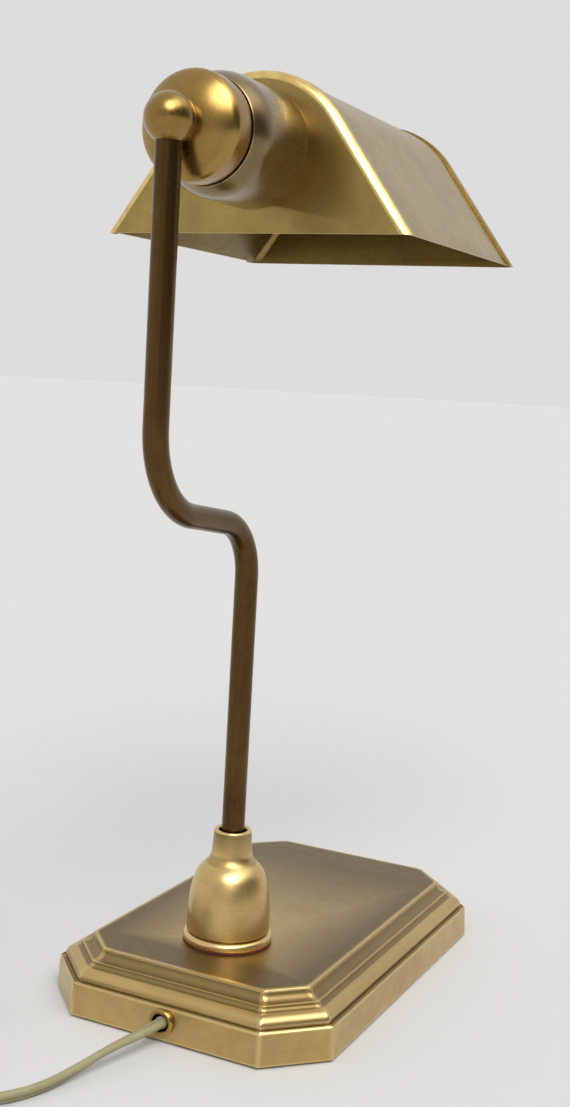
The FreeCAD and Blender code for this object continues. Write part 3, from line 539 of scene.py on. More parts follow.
def cord_sheath(name, colour):
    """Soft PVC, drawn, so its faint marks run along the cord."""
    n = Nodes(name)
    lay = n.attribute("lay", vector=True)
    drawn = n.noise(n.scaled(lay, (900, 900, 25)), 1, 3)
    dust = n.noise(n.place(), 140, 4)
    tint = n.mix(n.spread(drawn, 0.3, 0.7), [0.85 * c for c in colour], colour)
    tint = n.mix(n.spread(dust, 0.45, 0.75, 0, 0.35), tint, [0.5 * c + 0.25 for c in colour])
    # Painted shade: the groove between the cores, marked by its negative edge value, is darkened.
    groove = n.spread(n.attribute("edge"), -0.1, -0.9)
    tint = n.mix(groove, tint, [0.55 * c for c in colour])
    n.set(Base_Color=tint, Roughness=n.spread(dust, 0.3, 0.7, 0.36, 0.5))
    n.set(Normal=n.bump(drawn, 0.1, 0.0001), Specular_IOR_Level=0.5)
    return n.material


CLEAN = (0.66, 0.47, 0.185)
AGED = (0.42, 0.285, 0.10)
AROUND = (60, 60, 2600)  # brushed round a turned piece or along a moulding
ALONG = (1700, 1700, 22)  # drawn along a tube

BRASS = brass("antique_brass", CLEAN, AGED, AROUND, 0.33, edges=0.8)
SPUN = brass("spun_brass", (0.78, 0.56, 0.23), (0.52, 0.36, 0.135), AROUND, 0.31, edges=0.8)
TURNED = brass("turned_brass", (0.42, 0.26, 0.055), (0.20, 0.11, 0.02), AROUND, 0.26, 0.45, 0.2)
CUP = brass("cup_brass", (0.32, 0.22, 0.085), (0.12, 0.075, 0.026), AROUND, 0.27, 0.5, 0.35)
DARK = brass("dark_brass", (0.15, 0.083, 0.022), (0.055, 0.026, 0.007), ALONG, 0.27, 0.5, -0.15)
# The shade's brass lightens its rims strongly (edges=1.4): a painted highlight on top of wear.
SHADE = brass("shade_brass", (0.48, 0.34, 0.105), (0.26, 0.175, 0.045), (90, 90, 900), 0.31, 0.45,
              edges=1.4)
# Painted shade: a darker, duller copy of the shade's brass for the faces inside the shade.
INNER_PAINTED_SHADE = brass("shade_inner_painted_shade", (0.24, 0.16, 0.04), (0.11, 0.07, 0.017), (90, 90, 900), 0.4, 0.5, -0.2)
ZINC = steel("zinc_steel", (0.62, 0.63, 0.62))
NICKEL = steel("cap_nickel", (0.70, 0.69, 0.65), 0.28)
CONTACT = steel("contact_brass", (0.75, 0.56, 0.25), 0.3)
IRON = cast("iron", (0.05, 0.05, 0.052))
FELT = felt("felt", (0.045, 0.085, 0.055))
FIBRE = plastic("gasket", (0.16, 0.045, 0.022), 0.55, 900, 0.3)
SHEATH = cord_sheath("cord_pvc", (0.30, 0.27, 0.135))
SILICONE = plastic("inner_lead", (0.62, 0.61, 0.57), 0.5)
POLYAMIDE = plastic("terminal_plastic", (0.70, 0.69, 0.64), 0.45)
MOULDED = plastic("fitting_plastic", (0.215, 0.175, 0.08), 0.32, 1400, 0.1, 0.2)
GLAZED = ceramic("holder_ceramic", (0.80, 0.77, 0.68))
FROSTED = frosted_glass("bulb_glass")

SLOT_MATERIALS = {
    "antique_brass": BRASS, "dark_brass": DARK, "bright_brass": TURNED, "shade_brass": SHADE,
    "zinc_steel": ZINC, "iron": IRON, "felt": FELT, "gasket": FIBRE, "cord_pvc": SHEATH,
    "inner_lead": SILICONE, "terminal_plastic": POLYAMIDE, "fitting_plastic": MOULDED,
    "holder_ceramic": GLAZED, "contact_brass": CONTACT, "bulb_glass": FROSTED,
    "cap_nickel": NICKEL,
}
for part in frame["record"]["subparts"]:
    node = frame["nodes"][part["node"]]
    node.data.materials.clear()
    node.data.materials.append(SLOT_MATERIALS[part["material_slot"]])


# --- base -----------------------------------------------------------------------------------
def octagon(inset, corner=1.1 * MM, reach=1.6 * MM):
    """The base's outline, moved in by inset, with its corners rounded: (x, y, wear)."""
    x, y = BASE_HALF_X - inset, BASE_HALF_Y - inset
    leg = CORNER_CUT - inset * (2 - math.sqrt(2))
    corners = [(x, -y + leg), (x, y - leg), (x - leg, y), (leg - x, y)]
    corners += [(-a, -b) for a, b in corners]
    loop = []
    for i, here in enumerate(corners):
        here = Vector(here)
        back = (Vector(corners[i - 1]) - here).normalized()
        ahead = (Vector(corners[(i + 1) % 8]) - here).normalized()
        cut_back = corner * math.tan(math.radians(22.5))
        loop.append((*(here + back * (cut_back + reach)), 0.0))
        for t in (0, 0.25, 0.5, 0.75, 1):
            away = back * cut_back * (1 - t) ** 2 + ahead * cut_back * t**2
            loop.append((*(here + away), 0.8))
        loop.append((*(here + ahead * (cut_back + reach)), 0.0))
    return loop


def moulded_base():
    """The stepped shell, hollow underneath, with bores for the stem and the cord's bushing."""
    wall, pocket, step, under = 4.4, 17.0, 14.6, DECK_TOP / MM - 2.9
    foot, top = SHELL_FOOT / MM, DECK_TOP / MM
    levels = outline((-pocket - 6, under), [
        (-pocket, under),
        (-pocket, step),
        (-wall, step),
        (-wall, foot),
        (0, foot),
        (-0.8, 14.4),
        (-1.4, 15.0),
        (-2.2, 14.2, -3.0, 15.0),
        (-3.0, 15.6),
        (-4.29, 18.71, -7.4, 20.0),
        (-8.74, 20.56, -9.3, 21.9),
        (-9.3, 22.2),
        (-10.2, 22.2),
        (-12.89, 23.31, -14.0, 26.0),
        (-14.5, top),
        (-16.5, top),
    ], corner=0.35, reach=0.8, closed=False)
    levels[-1] = (*levels[-1][:2], DECK_DARKENING)
    shell = stacked("moulded_base", octagon, levels)
    hole = middle("cord_bushing")
    stem = Vector((0, STEM_Y, 0))
    cord_bore = rod(BUSHING_BORE_R, Vector((0, -BASE_HALF_Y - 0.01, hole.z)),
                    Vector((0, -BASE_HALF_Y + 0.012, hole.z)))
    stem_bore = rod(TUBE_R + 0.05 * MM, stem + Vector((0, 0, 0.015)), stem + Vector((0, 0, 0.04)))
    cut(shell, cord_bore, stem_bore)
    return shown(shell, BRASS, "base", "antique_brass", "base_shell")


def felt_pad():
    """The pad, with softly rounded edges and the base's cut corners."""
    inset = BASE_HALF_X - high("base_felt").x
    top = high("base_felt").z / MM
    levels = outline((-6, 0.06), [(0, 0.06), (0, top), (-6, top)], corner=0.5, closed=False)
    pad = stacked("felt_pad", lambda deeper: octagon(inset + deeper), levels)
    shown(pad, FELT, "base", "felt", "base_felt")


def cord_bushing():
    """The flange's rim is rounded, and its mouth is flared for the cord."""
    front = low("cord_bushing").y / MM
    wall = -BASE_HALF_Y / MM + 0.3
    section = outline((3.65, front + 0.9), [
        (3.9, front + 0.25, 4.6, front),
        (5.4, front + 0.35, 5.65, front + 1.0),
        (5.65, wall),
        (4.3, wall),
        (4.3, wall + 8.5),
        (3.65, wall + 8.5),
    ], corner=0.15, reach=0.3)
    centre = Vector((0, 0, middle("cord_bushing").z))
    shown(turned("flanged_bushing", section, centre, "Y", around=72), TURNED, "base",
          "bright_brass", "cord_bushing")


# --- stem -----------------------------------------------------------------------------------
def bell():
    stem = Vector((0, STEM_Y, 0))
    foot = low("bell_ring").z / MM
    top = high("bell_cup").z / MM
    rim = high("bell_ring").x / MM
    gasket = outline((17, DECK_TOP / MM), [(rim - 0.2, DECK_TOP / MM), (rim - 0.2, foot), (17, foot)],
                     corner=0.2)
    shown(turned("fibre_gasket", gasket, stem), FIBRE, "base", "gasket", "bell_gasket")
    bead = outline((rim - 2.2, foot), [
        (rim - 0.9, foot),
        (rim - 0.2, foot + 0.4, rim, foot + 1.3),
        (rim - 0.35, foot + 2.9, rim - 1.5, foot + 3.7),
        (rim - 2.2, foot + 3.9),
    ], corner=0.2)
    shown(turned("foot_ring", bead, stem), SPUN, "base", "antique_brass", "bell_ring")
    cup = outline((16.3, foot), [
        (rim - 2.2, foot),
        (rim - 2.2, foot + 4.1),
        (rim - 1.4, foot + 4.7),
        (18.15, 40.0, 17.3, 48.5),
        (16.5, 52.4, 15.3, 56.2),
        (13.75, 59.06, 11.5, 61.4),
        (9.81, 63.37, 9.0, 65.84),
        (8.75, 67.2),
        (8.2, top - 1.0),
        (7.8, top - 0.1, 7.2, top),
        (6.5, top - 0.2, 6.2, top - 1.0),
        (6.2, 66.0),
        (8.4, 60.8),
        (14.0, 53.5, 15.8, 47.0),
    ], corner=0.25, reach=0.6)
    shown(turned("spun_bell", cup, stem, around=128), SPUN, "base", "antique_brass", "bell_cup")


def bent_path(points, radii, spacing):
    """Points along straight runs joined by arcs, close together on the arcs."""
    path = [points[0]]
    for before, corner, after, radius in zip(points, points[1:], points[2:], radii):
        back, ahead = (before - corner).normalized(), (after - corner).normalized()
        half = (math.pi - back.angle(ahead)) / 2
        reach = radius * math.tan(half)
        centre = corner + (back + ahead).normalized() * (radius / math.cos(half))
        first = corner + back * reach - centre
        axis = first.cross(corner + ahead * reach - centre).normalized()
        run = corner + back * reach
        steps = max(1, round((run - path[-1]).length / spacing))
        start = path[-1]
        path += [start.lerp(run, k / steps) for k in range(1, steps + 1)]
        turns = max(4, round(math.degrees(2 * half) / 4))
        for k in range(1, turns + 1):
            path.append(centre + Matrix.Rotation(2 * half * k / turns, 3, axis) @ first)
    steps = max(1, round((points[-1] - path[-1]).length / spacing))
    start = path[-1]
    return path + [start.lerp(points[-1], k / steps) for k in range(1, steps + 1)]


def stem():
    """The bent tube, hollow from end to end."""
    foot, top = low("stem_tube").z, high("stem_tube").z
    corners = [Vector((0, STEM_Y, LOW_CORNER_Z)), Vector((0, OFFSET_Y, HIGH_CORNER_Z))]
    ends = [Vector((0, STEM_Y, foot)), Vector((0, OFFSET_Y, top))]
    path = bent_path([ends[0], *corners, ends[1]], [LOW_BEND_R, HIGH_BEND_R], 12 * MM)
    around = 56
    rings = []
    for radius in (TUBE_R, TUBE_R - TUBE_WALL):
        rings.append([(radius * math.cos(math.tau * k / around),
                       radius * math.sin(math.tau * k / around), 0.0) for k in range(around)])
    pipe = swept("bent_tube", path, rings[0], Vector((1, 0, 0)))
    inside = bent_path([ends[0] - Vector((0, 0, 0.01)), *corners, ends[1] + Vector((0, 0, 0.01))],
                       [LOW_BEND_R, HIGH_BEND_R], 12 * MM)
    cut(pipe, swept("bore", inside, rings[1], Vector((1, 0, 0))))
    shown(pipe, DARK, "base", "dark_brass", "stem_tube")


def ball_and_knob():
    centre = Vector((0, 0, PIVOT_Z))
    r, y = BALL_R / MM, OFFSET_Y / MM
    flat = high(BALL).y / MM
    rim = math.sqrt(r * r - (flat - y) ** 2)
    back = outline((0, y - r), [
        (r * math.sqrt(0.5), y - r * math.sqrt(0.5), r, y),
        (math.sqrt(r * r - 9), y + 3, rim, flat),
        (5.02, flat),
        (5.02, y + 2),
        (0, y + 2),
    ], corner=0.5, reach=0.5, closed=False)
    ball = turned("stem_ball_joint", back, centre, "Y", closed=False, around=96)
    seat = Vector((0, OFFSET_Y, PIVOT_Z))
    cut(ball, rod(TUBE_R + 0.12 * MM, seat - Vector((0, 0, 0.02)), seat - Vector((0, 0, 0.0015))))
    shown(ball, TURNED, "base", "bright_brass", BALL)

    bore, wall = 5.05, 2.5
    front, end = low("knob").y / MM, high("knob").y / MM
    dome_y = front - 0.6 + DOME_R
    seat_r = math.sqrt(DOME_R**2 - (dome_y - front) ** 2)
    r = KNOB_R / MM
    rim_x = r - RIM_R
    rim_y = dome_y - math.sqrt((DOME_R - RIM_R) ** 2 - rim_x**2)
    slope = math.asin(rim_x / (DOME_R - RIM_R))

    def on_dome(angle):
        return DOME_R * math.sin(angle), dome_y - DOME_R * math.cos(angle)

    def on_rim(angle):
        return rim_x + RIM_R * math.sin(angle), rim_y - RIM_R * math.cos(angle)

    def on_ball(radius, y):
        return math.sqrt(radius**2 - (y - KNOB_Y) ** 2), y

    section = outline((bore, front), [
        (seat_r, front),
        on_dome((math.asin(seat_r / DOME_R) + slope) / 2) + on_dome(slope),
        on_rim((slope + math.pi / 2) / 2) + (r, rim_y),
        (r, KNOB_Y),
        on_ball(r, (KNOB_Y + end) / 2) + on_ball(r, end),
        on_ball(r - wall, end),
        (r - wall, KNOB_Y) + on_ball(r - wall, front + 5),
        (bore, front + 5),
    ], corner=0.3, reach=0.4)
    knob = turned("knob_ball", section, centre, "Y", around=128)
    shown(knob, TURNED, "head", "bright_brass", "knob")


# --- head -----------------------------------------------------------------------------------
def holder_cup():
    """Spun cup that grips the knob and hides the lamp holder."""
    r = high("holder_cup").x / MM
    lip, back = low("holder_cup").y / MM, high("holder_cup").y / MM
    ball = KNOB_R / MM
    mouth_front, mouth_back, shoulder = lip + 0.4, lip + 2.0, lip + 10.6
    back_r = math.sqrt(ball**2 - (mouth_back - KNOB_Y) ** 2) + 0.02
    front_r = math.sqrt(ball**2 - (mouth_front - KNOB_Y) ** 2) + 0.08
    section = outline((back_r, mouth_back), [
        (front_r, mouth_front),
        (front_r + 0.7, lip),
        (r - 1.15, lip + 4.2, r, shoulder),
        (r, back),
        (r - 1.2, back),
        (r - 1.2, shoulder),
        (r - 2.15, lip + 5.5, back_r + 1.2, mouth_back),
    ], corner=0.2, reach=0.4)
    cup = turned("spun_cup", section, Vector((0, 0, PIVOT_Z)), "Y", around=128)
    shown(cup, CUP, "head", "antique_brass", "holder_cup")


def shade_loop(inset, foot=None):
    """The shade's outline, moved in by inset, in its own plane: (x, z, wear)."""
    foot = SHADE_FOOT_Z if foot is None else foot
    centre_z = SHADE_TOP_Z - CROWN_R
    r = CROWN_R - inset
    tangent_z = centre_z + r * math.cos(FLARE)
    foot_x = r * math.sin(FLARE) + (tangent_z - foot) / math.tan(FLARE)
    side = [(r * math.sin(FLARE), tangent_z), (foot_x, foot)]
    over = [(r * math.sin(a), centre_z + r * math.cos(a))
            for a in (FLARE * (1 - k / 16) for k in range(33))]
    right = [(side[1][0] + (side[0][0] - side[1][0]) * k / 6,
              foot + (tangent_z - foot) * k / 6) for k in range(6)]
    loop = right + over + [(-x, z) for x, z in reversed(right)]
    return [(x, z, 0.0) for x, z in loop]


def shade_bar(name, levels, inset=0.0, foot=None):
    return stacked(name, lambda deeper: shade_loop(inset + deeper, foot), levels,
                   lambda x, z, y: Vector((x, y, z)))


def end_plate(name, at, way, holed):
    """A pressed end plate with a rounded rim and a short flange. Way is +1 if it faces -Y."""
    depth, edge_r, sheet = CAP_DEPTH / MM, CAP_EDGE_R / MM, SHEET / MM
    slope = 1 - math.sqrt(0.5)

    def rim(r, start, end):
        table = [(-r, start), (-r * slope, start + r * slope, 0, start + r), (0, end)]
        made = outline(table[0], table[1:], closed=False)
        # The rounded outer rim gets 0.9, which the shade's brass lightens: partly rubbed wear, partly
        # a painted highlight along the rim.
        worn_and_highlit = [0.9 if r == edge_r and 0 < i < len(made) - 2 else 0.0 for i in range(len(made))]
        return [(a, at + way * b, wear) for (a, b, _), wear in zip(made, worn_and_highlit)]

    solid = shade_bar(name, rim(edge_r, 0, depth))
    hollow = shade_bar("hollow", rim(edge_r - sheet, sheet, depth + 1), SHEET, SHADE_FOOT_Z - 5 * MM)
    cutters = [hollow]
    if holed:
        axis = Vector((0, at, PIVOT_Z))
        cutters.append(rod(PLATE_HOLE_R, axis - Vector((0, 0.004, 0)), axis + Vector((0, 0.004, 0))))
    return eased(cut(solid, *cutters), 0.18 * MM)


def paint_inner_shade(obj):
    """Gives the faces that look into the shade a rougher brass, darkened as painted shade for its dim
    inside.
    """
    within = Vector((0, (SHADE_FRONT_Y + SHADE_BACK_Y) / 2, SHADE_FOOT_Z + 0.01))
    plates_y = (SHADE_BACK_Y - SHADE_FRONT_Y) / 2 - CAP_DEPTH / 2
    obj.data.materials.append(INNER_PAINTED_SHADE)
    for face in obj.data.polygons:
        out = face.center - within
        flange_edge = abs(face.normal.y) > 0.3 and abs(out.y) < plates_y
        if face.normal.dot(out) < 0 and not flange_edge:
            face.material_index = 1


def shade():
    near = end_plate("shade_near_plate", SHADE_FRONT_Y, 1, True)
    far = end_plate("shade_far_plate", SHADE_BACK_Y, -1, False)
    start, end = low("shade_body").y, high("shade_body").y
    rows = [(0, start + (end - start) * k / 12, 0) for k in range(13)]
    body = shade_bar("shade_sheet", rows, SHEET, low("shade_body").z)
    hollow = [(0, start - 0.001, 0), (0, end + 0.001, 0)]
    cut(body, shade_bar("hollow", hollow, 2 * SHEET, SHADE_FOOT_Z - 5 * MM))
    eased(body, 0.15 * MM)
    for obj, node in [(near, "near_end_plate"), (far, "far_end_plate"), (body, "shade_body")]:
        shown(obj, SHADE, "head", "shade_brass", node)
        paint_inner_shade(obj)


def bulb():
    centre = Vector((0, 0, PIVOT_Z))
    r, tip = high("bulb_glass").x / MM, high("bulb_glass").y / MM
    cap_r, wall, d = high("bulb_cap").x / MM, 0.8, math.sqrt(0.5)
    inner, round_y = r - wall, tip - r
    glass = outline((cap_r - 0.2, -49), [
        (cap_r - 0.2, -46),
        (cap_r + 0.3, -42.5, r, -40),
        (r, round_y),
        (r * d, round_y + r * d, 0, tip),
        (0, tip - wall),
        (inner * d, round_y + inner * d, inner, round_y),
        (inner, -40),
        (cap_r - 0.5, -42.5, cap_r - 1.0, -46),
        (cap_r - 1.0, -49),
    ], corner=0.3)
    shown(turned("glass_envelope", glass, centre, "Y", around=96), FROSTED, "head", "bulb_glass",
          "bulb_glass")
    steps = [(6.0, -74.5), (cap_r - 0.9, -70)]
    for k in range(6):
        ridge = -69 + 3.3 * k
        steps += [(cap_r - 0.75, ridge), (cap_r, ridge + 1.65, cap_r - 0.75, ridge + 3.3)]
    steps += [(cap_r - 0.2, -49), (0, -49)]
    cap = turned("screw_cap", outline((0, -74.5), steps, closed=False), centre, "Y", closed=False,
                 around=96)
    shown(cap, NICKEL, "head", "cap_nickel", "bulb_cap")


# --- cord, switch and plug ------------------------------------------------------------------
LEAD = [(0, -104, 9.0), (-1.5, -116, 8.9), (-7, -132, 7.2), (-11.5, -147, 4.2),
        (-15, -161, 2.7), (-21, -175, 2.7), (-31, -187, 3.4), (-42, -193, 5.4),
        (-54, -195, 6.5)]
THROUGH_SWITCH = [(-68, -195.2, 6.5), (-83, -194.9, 6.5), (-98, -195.2, 6.5)]
MIDDLE = [(-112, -195, 6.5), (-123, -194.1, 5.6), (-134.5, -188.2, 3.6),
          (-142.9, -178.2, 2.7), (-146.7, -165.8, 2.7), (-146.8, -155, 2.7)]
TAIL = [(-146.7, -127, 7.4), (-147.3, -117, 7.0), (-149, -107, 7.0), (-150.6, -98, 7.0)]
CORD_WIDTH = 5.2 * MM
CORD_THICKNESS = 3.2 * MM
CORD_BORE_R = 2.75  # millimetres, where the cord enters the switch and the plug's sleeve
SWITCH_Y = -195 * MM
SWITCH_TOP = 15.0  # of its lid, in millimetres
UPTURN = 55 * MM  # length over which the cord turns up on its edge after the bushing
EASE = 30 * MM  # and over which it turns flat before the switch and up again after it
LEAN = 64  # degrees from flat that it stands at between bushing and switch
ROCKER_PIVOT_Z = 12 * MM
ROCKER_TILT = math.radians(8)
COIL_TURNS = 8  # four inwards on the floor, then four outwards on top of them
POINTS_PER_TURN = 16


def coil_turns():
    """The coil's points, clockwise from its left side, with the cord standing on its edge."""
    centre = middle("cord_coil") / MM
    outer = (high("cord_coil").x - low("cord_coil").x) / 2 / MM - 2.6
    inner = outer - 15.6
    lower, upper = 2.7, 7.7
    points = []
    for k in range(COIL_TURNS * POINTS_PER_TURN + 1):
        turn = k / POINTS_PER_TURN
        inwards = min(turn, COIL_TURNS - turn) / (COIL_TURNS / 2)
        r = outer + (inner - outer) * inwards
        rise = min(1.0, max(0.0, (turn - COIL_TURNS / 2 + 0.35) / 0.7))
        z = lower + (upper - lower) * rise * rise * (3 - 2 * rise)
        a = math.pi - math.tau * turn
        points.append((centre.x + r * math.cos(a), centre.y + r * math.sin(a), z))
    return points


def smooth_route(points):
    """The points along a spline with these control points, in metres."""
    curve = bpy.data.curves.new("route", "CURVE")
    curve.dimensions = "3D"
    spline = curve.splines.new("NURBS")
    spline.points.add(len(points) - 1)
    for target, point in zip(spline.points, points):
        target.co = (*(x * MM for x in point), 1)
    spline.order_u = 3
    spline.use_endpoint_u = True
    spline.resolution_u = 8
    route = bpy.data.objects.new("route", curve)
    line = bpy.data.meshes.new_from_object(route)
    path = [v.co.copy() for v in line.vertices]
    bpy.data.meshes.remove(line)
    bpy.data.curves.remove(curve)
    return path


def twin_section():
    """Two cores side by side in one flat sheath, with a shallow groove between them."""
    r = CORD_THICKNESS / 2
    half = CORD_WIDTH / 2 - r
    right = [(half + r * math.cos(a), r * math.sin(a), 0.0)
             for a in (math.radians(d) for d in range(-90, 91, 18))]
    # The groove's middle point gets -1, which the cord's material darkens as painted shade.
    top = [(half * 0.45, r * 0.97, 0.0), (0.0, r * 0.84, -1.0), (-half * 0.45, r * 0.97, 0.0)]
    left = [(-a, -b, w) for a, b, w in right]
    bottom = [(-a, -b, w) for a, b, w in top]
    return right + top + left + bottom


def cord():
    """The flat twin cord: it twists from lying flat at the bushing to standing on its edge."""
    path = smooth_route(LEAD + THROUGH_SWITCH + MIDDLE + coil_turns() + TAIL)
    switch = [low("switch_base").x, high("switch_base").x]
    roll, run = [], 0.0
    coil_side = low("cord_coil").y
    in_coil = False
    for i, here in enumerate(path):
        run += (here - path[i - 1]).length if i else 0.0
        in_coil = in_coil or (here.x < switch[0] and here.y > coil_side + 0.02)
        if here.x > switch[1]:
            to_switch = here.x - switch[1]
            turned_up = min(1.0, run / UPTURN) * min(1.0, to_switch / EASE)
        elif here.x > switch[0]:
            turned_up = 0.0
        else:
            turned_up = 1.0 if in_coil else min(1.0, max(0.0, (here.y - SWITCH_Y) / EASE))
        roll.append(math.radians(LEAN if here.x > switch[1] and not in_coil else 90) * turned_up)
    flex = swept("mains_flex", path, twin_section(), Vector((0, 0, 1)), roll, sharp=60)
    shown(flex, SHEATH, "base", "cord_pvc", "cord_lead", "cord_middle", "cord_tail", "cord_coil")
    return flex, path


def switch_loop(inset):
    """A long rounded outline, in millimetres about the switch's middle, moved in by inset."""
    inset /= MM
    half, wide, nose = 30 - inset, 13.5 - inset, 6.0
    straight = half - 16
    steps = [
        (half - 5, -wide * 0.82, half, -nose),
        (half, nose),
        (half - 5, wide * 0.82, straight, wide),
        (-straight, wide),
        (5 - half, wide * 0.82, -half, nose),
        (-half, -nose),
        (5 - half, -wide * 0.82, -straight, -wide),
    ]
    points = [(straight, -wide)]
    for step in steps:
        points += arc(points[-1], step[:2], step[2:]) if len(step) == 4 else [step]
    centre = middle("switch_base")
    return [(a * MM + centre.x, b * MM + centre.y, 0.0) for a, b in points]


def switch():
    split, top = high("switch_base").z / MM, SWITCH_TOP
    foot = low("switch_base").z / MM
    centre = middle("switch_base")
    wall = 1.8 * MM

    def cord_bore():
        axis = Vector((centre.x, centre.y, split * MM))
        return rod(CORD_BORE_R * MM, axis - Vector((0.04, 0, 0)), axis + Vector((0.04, 0, 0)), 40)

    tray_levels = outline((-6, foot), [(0, foot), (0, split), (-6, split)],
                          corner=1.2, reach=0.3, closed=False)
    tray_levels = [(a, min(b, split * MM), w) for a, b, w in tray_levels]
    tray = stacked("switch_tray", switch_loop, tray_levels)
    tray_room = [(-wall, wall, 0), (-wall, 0.02, 0)]
    cut(tray, stacked("room", switch_loop, tray_room), cord_bore())
    shown(eased(tray, 0.2 * MM), MOULDED, "base", "fitting_plastic", "switch_base")

    lid_levels = outline((-6, split), [
        (0, split),
        (0, top - 3.0),
        (-0.8, top - 0.8, -3.0, top - 0.1),
        (-8, top),
    ], corner=0.3, reach=0.3, closed=False)
    lid = stacked("switch_lid_cover", switch_loop, lid_levels)
    room = [(-wall, (split - 1) * MM, 0), (-wall, (top - 1.9) * MM, 0)]
    window = block("window", centre + Vector((-0.0096, -0.0055, 0.005)),
                   centre + Vector((0.0096, 0.0055, 0.02)))
    grooves = []
    for side in (-1, 1):
        for k in range(4):
            x = centre.x + side * (15.2 + 2.6 * k) * MM
            grooves.append(block("groove", Vector((x - 0.0006, centre.y - 0.008, (top - 0.7) * MM)),
                                 Vector((x + 0.0006, centre.y + 0.008, 0.02))))
    cut(lid, stacked("room", switch_loop, room), window, cord_bore(), *grooves)
    shown(eased(lid, 0.2 * MM), MOULDED, "base", "fitting_plastic", "switch_lid")
    return [bpy.data.objects[n] for n in ("switch_tray", "switch_lid_cover")]


def rocker():
    """The rocker at its off position: tipped about its pins."""
    pivot = Vector((middle("switch_base").x, middle("switch_rocker").y, ROCKER_PIVOT_Z))
    section = outline((-2.6, 9.2), [
        (0, 8.6, 2.6, 9.2),
        (4.0, 11.4),
        (8.8, 14.2),
        (8.4, 17.2),
        (0, 15.7, -8.4, 17.2),
        (-8.8, 14.2),
        (-4.0, 11.4),
    ], corner=0.5, reach=0.3)
    section = [(a, b - pivot.z, w) for a, b, w in section]
    path = [Vector((0, y * MM, 0)) for y in (5.0, 2.5, 0, -2.5, -5.0)]
    button = swept("rocker_button", path, section, Vector((0, 0, 1)))
    pins = rod(1.2 * MM, Vector((0, -0.007, 0)), Vector((0, 0.007, 0)), 32)
    eased(button, 0.35 * MM)
    button = joined("rocker_button", button, pins)
    button.data.transform(Matrix.Translation(pivot) @ Matrix.Rotation(ROCKER_TILT, 4, "Y"))
    return shown(button, MOULDED, "rocker", "fitting_plastic", "switch_rocker")


PLUG_TURN = Matrix.Rotation(math.radians(10), 4, "Z")
PLUG_AT = Matrix.Translation(Vector(TAIL[2]) * MM)
SLEEVE_LENGTH = 22.0  # the plug's sizes, in millimetres
PLUG_LENGTH = 34.0
PLUG_HALF_WIDTH = 17.6
PLUG_HALF_HEIGHT = 6.8
PIN_R = 2.0
PIN_LENGTH = 19.0
PIN_OFFSET = 9.3  # of each pin from the plug's middle
GRIPS = 4  # grooves for the fingers in the plug's upper face


def on_plug(obj):
    obj.data.transform(PLUG_AT @ PLUG_TURN)
    return obj


def plug():
    steps = [(CORD_BORE_R, 0), (3.8, 0)]
    for k in range(5):
        y = 2.5 + 3.6 * k
        r = 3.8 + 1.6 * y / SLEEVE_LENGTH
        steps += [(r, y), (r - 0.75, y + 0.35), (r - 0.75, y + 1.25), (r + 0.1, y + 1.6)]
    steps += [(5.4, SLEEVE_LENGTH), (CORD_BORE_R, SLEEVE_LENGTH)]
    section = outline(steps[0], steps[1:], corner=0.25, reach=0.2)
    relief = on_plug(turned("plug_relief", section, Vector(), "Y", around=64))
    shown(relief, MOULDED, "base", "fitting_plastic", "plug_sleeve")

    def loop(inset):
        inset /= MM
        start, end = SLEEVE_LENGTH + inset, SLEEVE_LENGTH + PLUG_LENGTH
        table = [
            (6.5, start),
            (12.0 - 0.8 * inset, start + 1.5, 13.2 - inset, start + 6),
            (PLUG_HALF_WIDTH - inset, SLEEVE_LENGTH + 26),
            (PLUG_HALF_WIDTH - inset, end),
        ]
        points = [table[0]] + arc(table[0], table[1][:2], table[1][2:]) + table[2:]
        points += [(-x, y) for x, y in reversed(points)]
        return [(x * MM, y * MM, 0.0) for x, y in points]

    half = PLUG_HALF_HEIGHT
    levels = outline((-5, -half), [(0, -half), (0, half), (-5, half)], corner=2.4, reach=0.3,
                     closed=False)
    body = stacked("plug_moulding", loop, levels)
    grips = []
    for k in range(GRIPS):
        y = (SLEEVE_LENGTH + 8 + 3.4 * k) * MM
        grips.append(block("grip", Vector((-0.0075, y, 0.0063)), Vector((0.0075, y + 0.0016, 0.009))))
    cut(body, *grips)
    on_plug(eased(body, 0.3 * MM))
    shown(body, MOULDED, "base", "fitting_plastic", "plug_body")

    pins = []
    for side in (-1, 1):
        start = SLEEVE_LENGTH + PLUG_LENGTH
        tip = start + PIN_LENGTH
        pin = outline((0, start), [(PIN_R, start), (PIN_R, tip - 1), (PIN_R - 0.8, tip), (0, tip)],
                      corner=0.3, closed=False)
        place = Vector((side * PIN_OFFSET * MM, 0, 0))
        pins.append(turned("pin", pin, place, "Y", closed=False, around=48))
    pair = on_plug(joined("plug_pin_pair", *pins))
    shown(pair, NICKEL, "base", "cap_nickel", "plug_pins")
    return [relief, body, pair]


# --- studio ---------------------------------------------------------------------------------
def camera():
    """Stands in front of the base's cord end, to the right, a little above the deck."""
    azimuth, elevation, roll = (math.radians(d) for d in (25.893, 6.809, 3.236))
    data = bpy.data.cameras.new("camera")
    data.sensor_width = 36
    data.lens = 46.777
    data.clip_start, data.clip_end = 0.01, 100
    obj = bpy.data.objects.new("camera", data)
    bpy.context.scene.collection.objects.link(obj)
    across = math.cos(elevation)
    back = Vector((math.sin(azimuth) * across, -math.cos(azimuth) * across, math.sin(elevation)))
    turn = (-back).to_track_quat("-Z", "Y").to_matrix() @ Matrix.Rotation(roll, 3, "Z")
    obj.matrix_world = Matrix.Translation((0.27995, -0.589455, 0.270919)) @ turn.to_4x4()
    bpy.context.scene.camera = obj


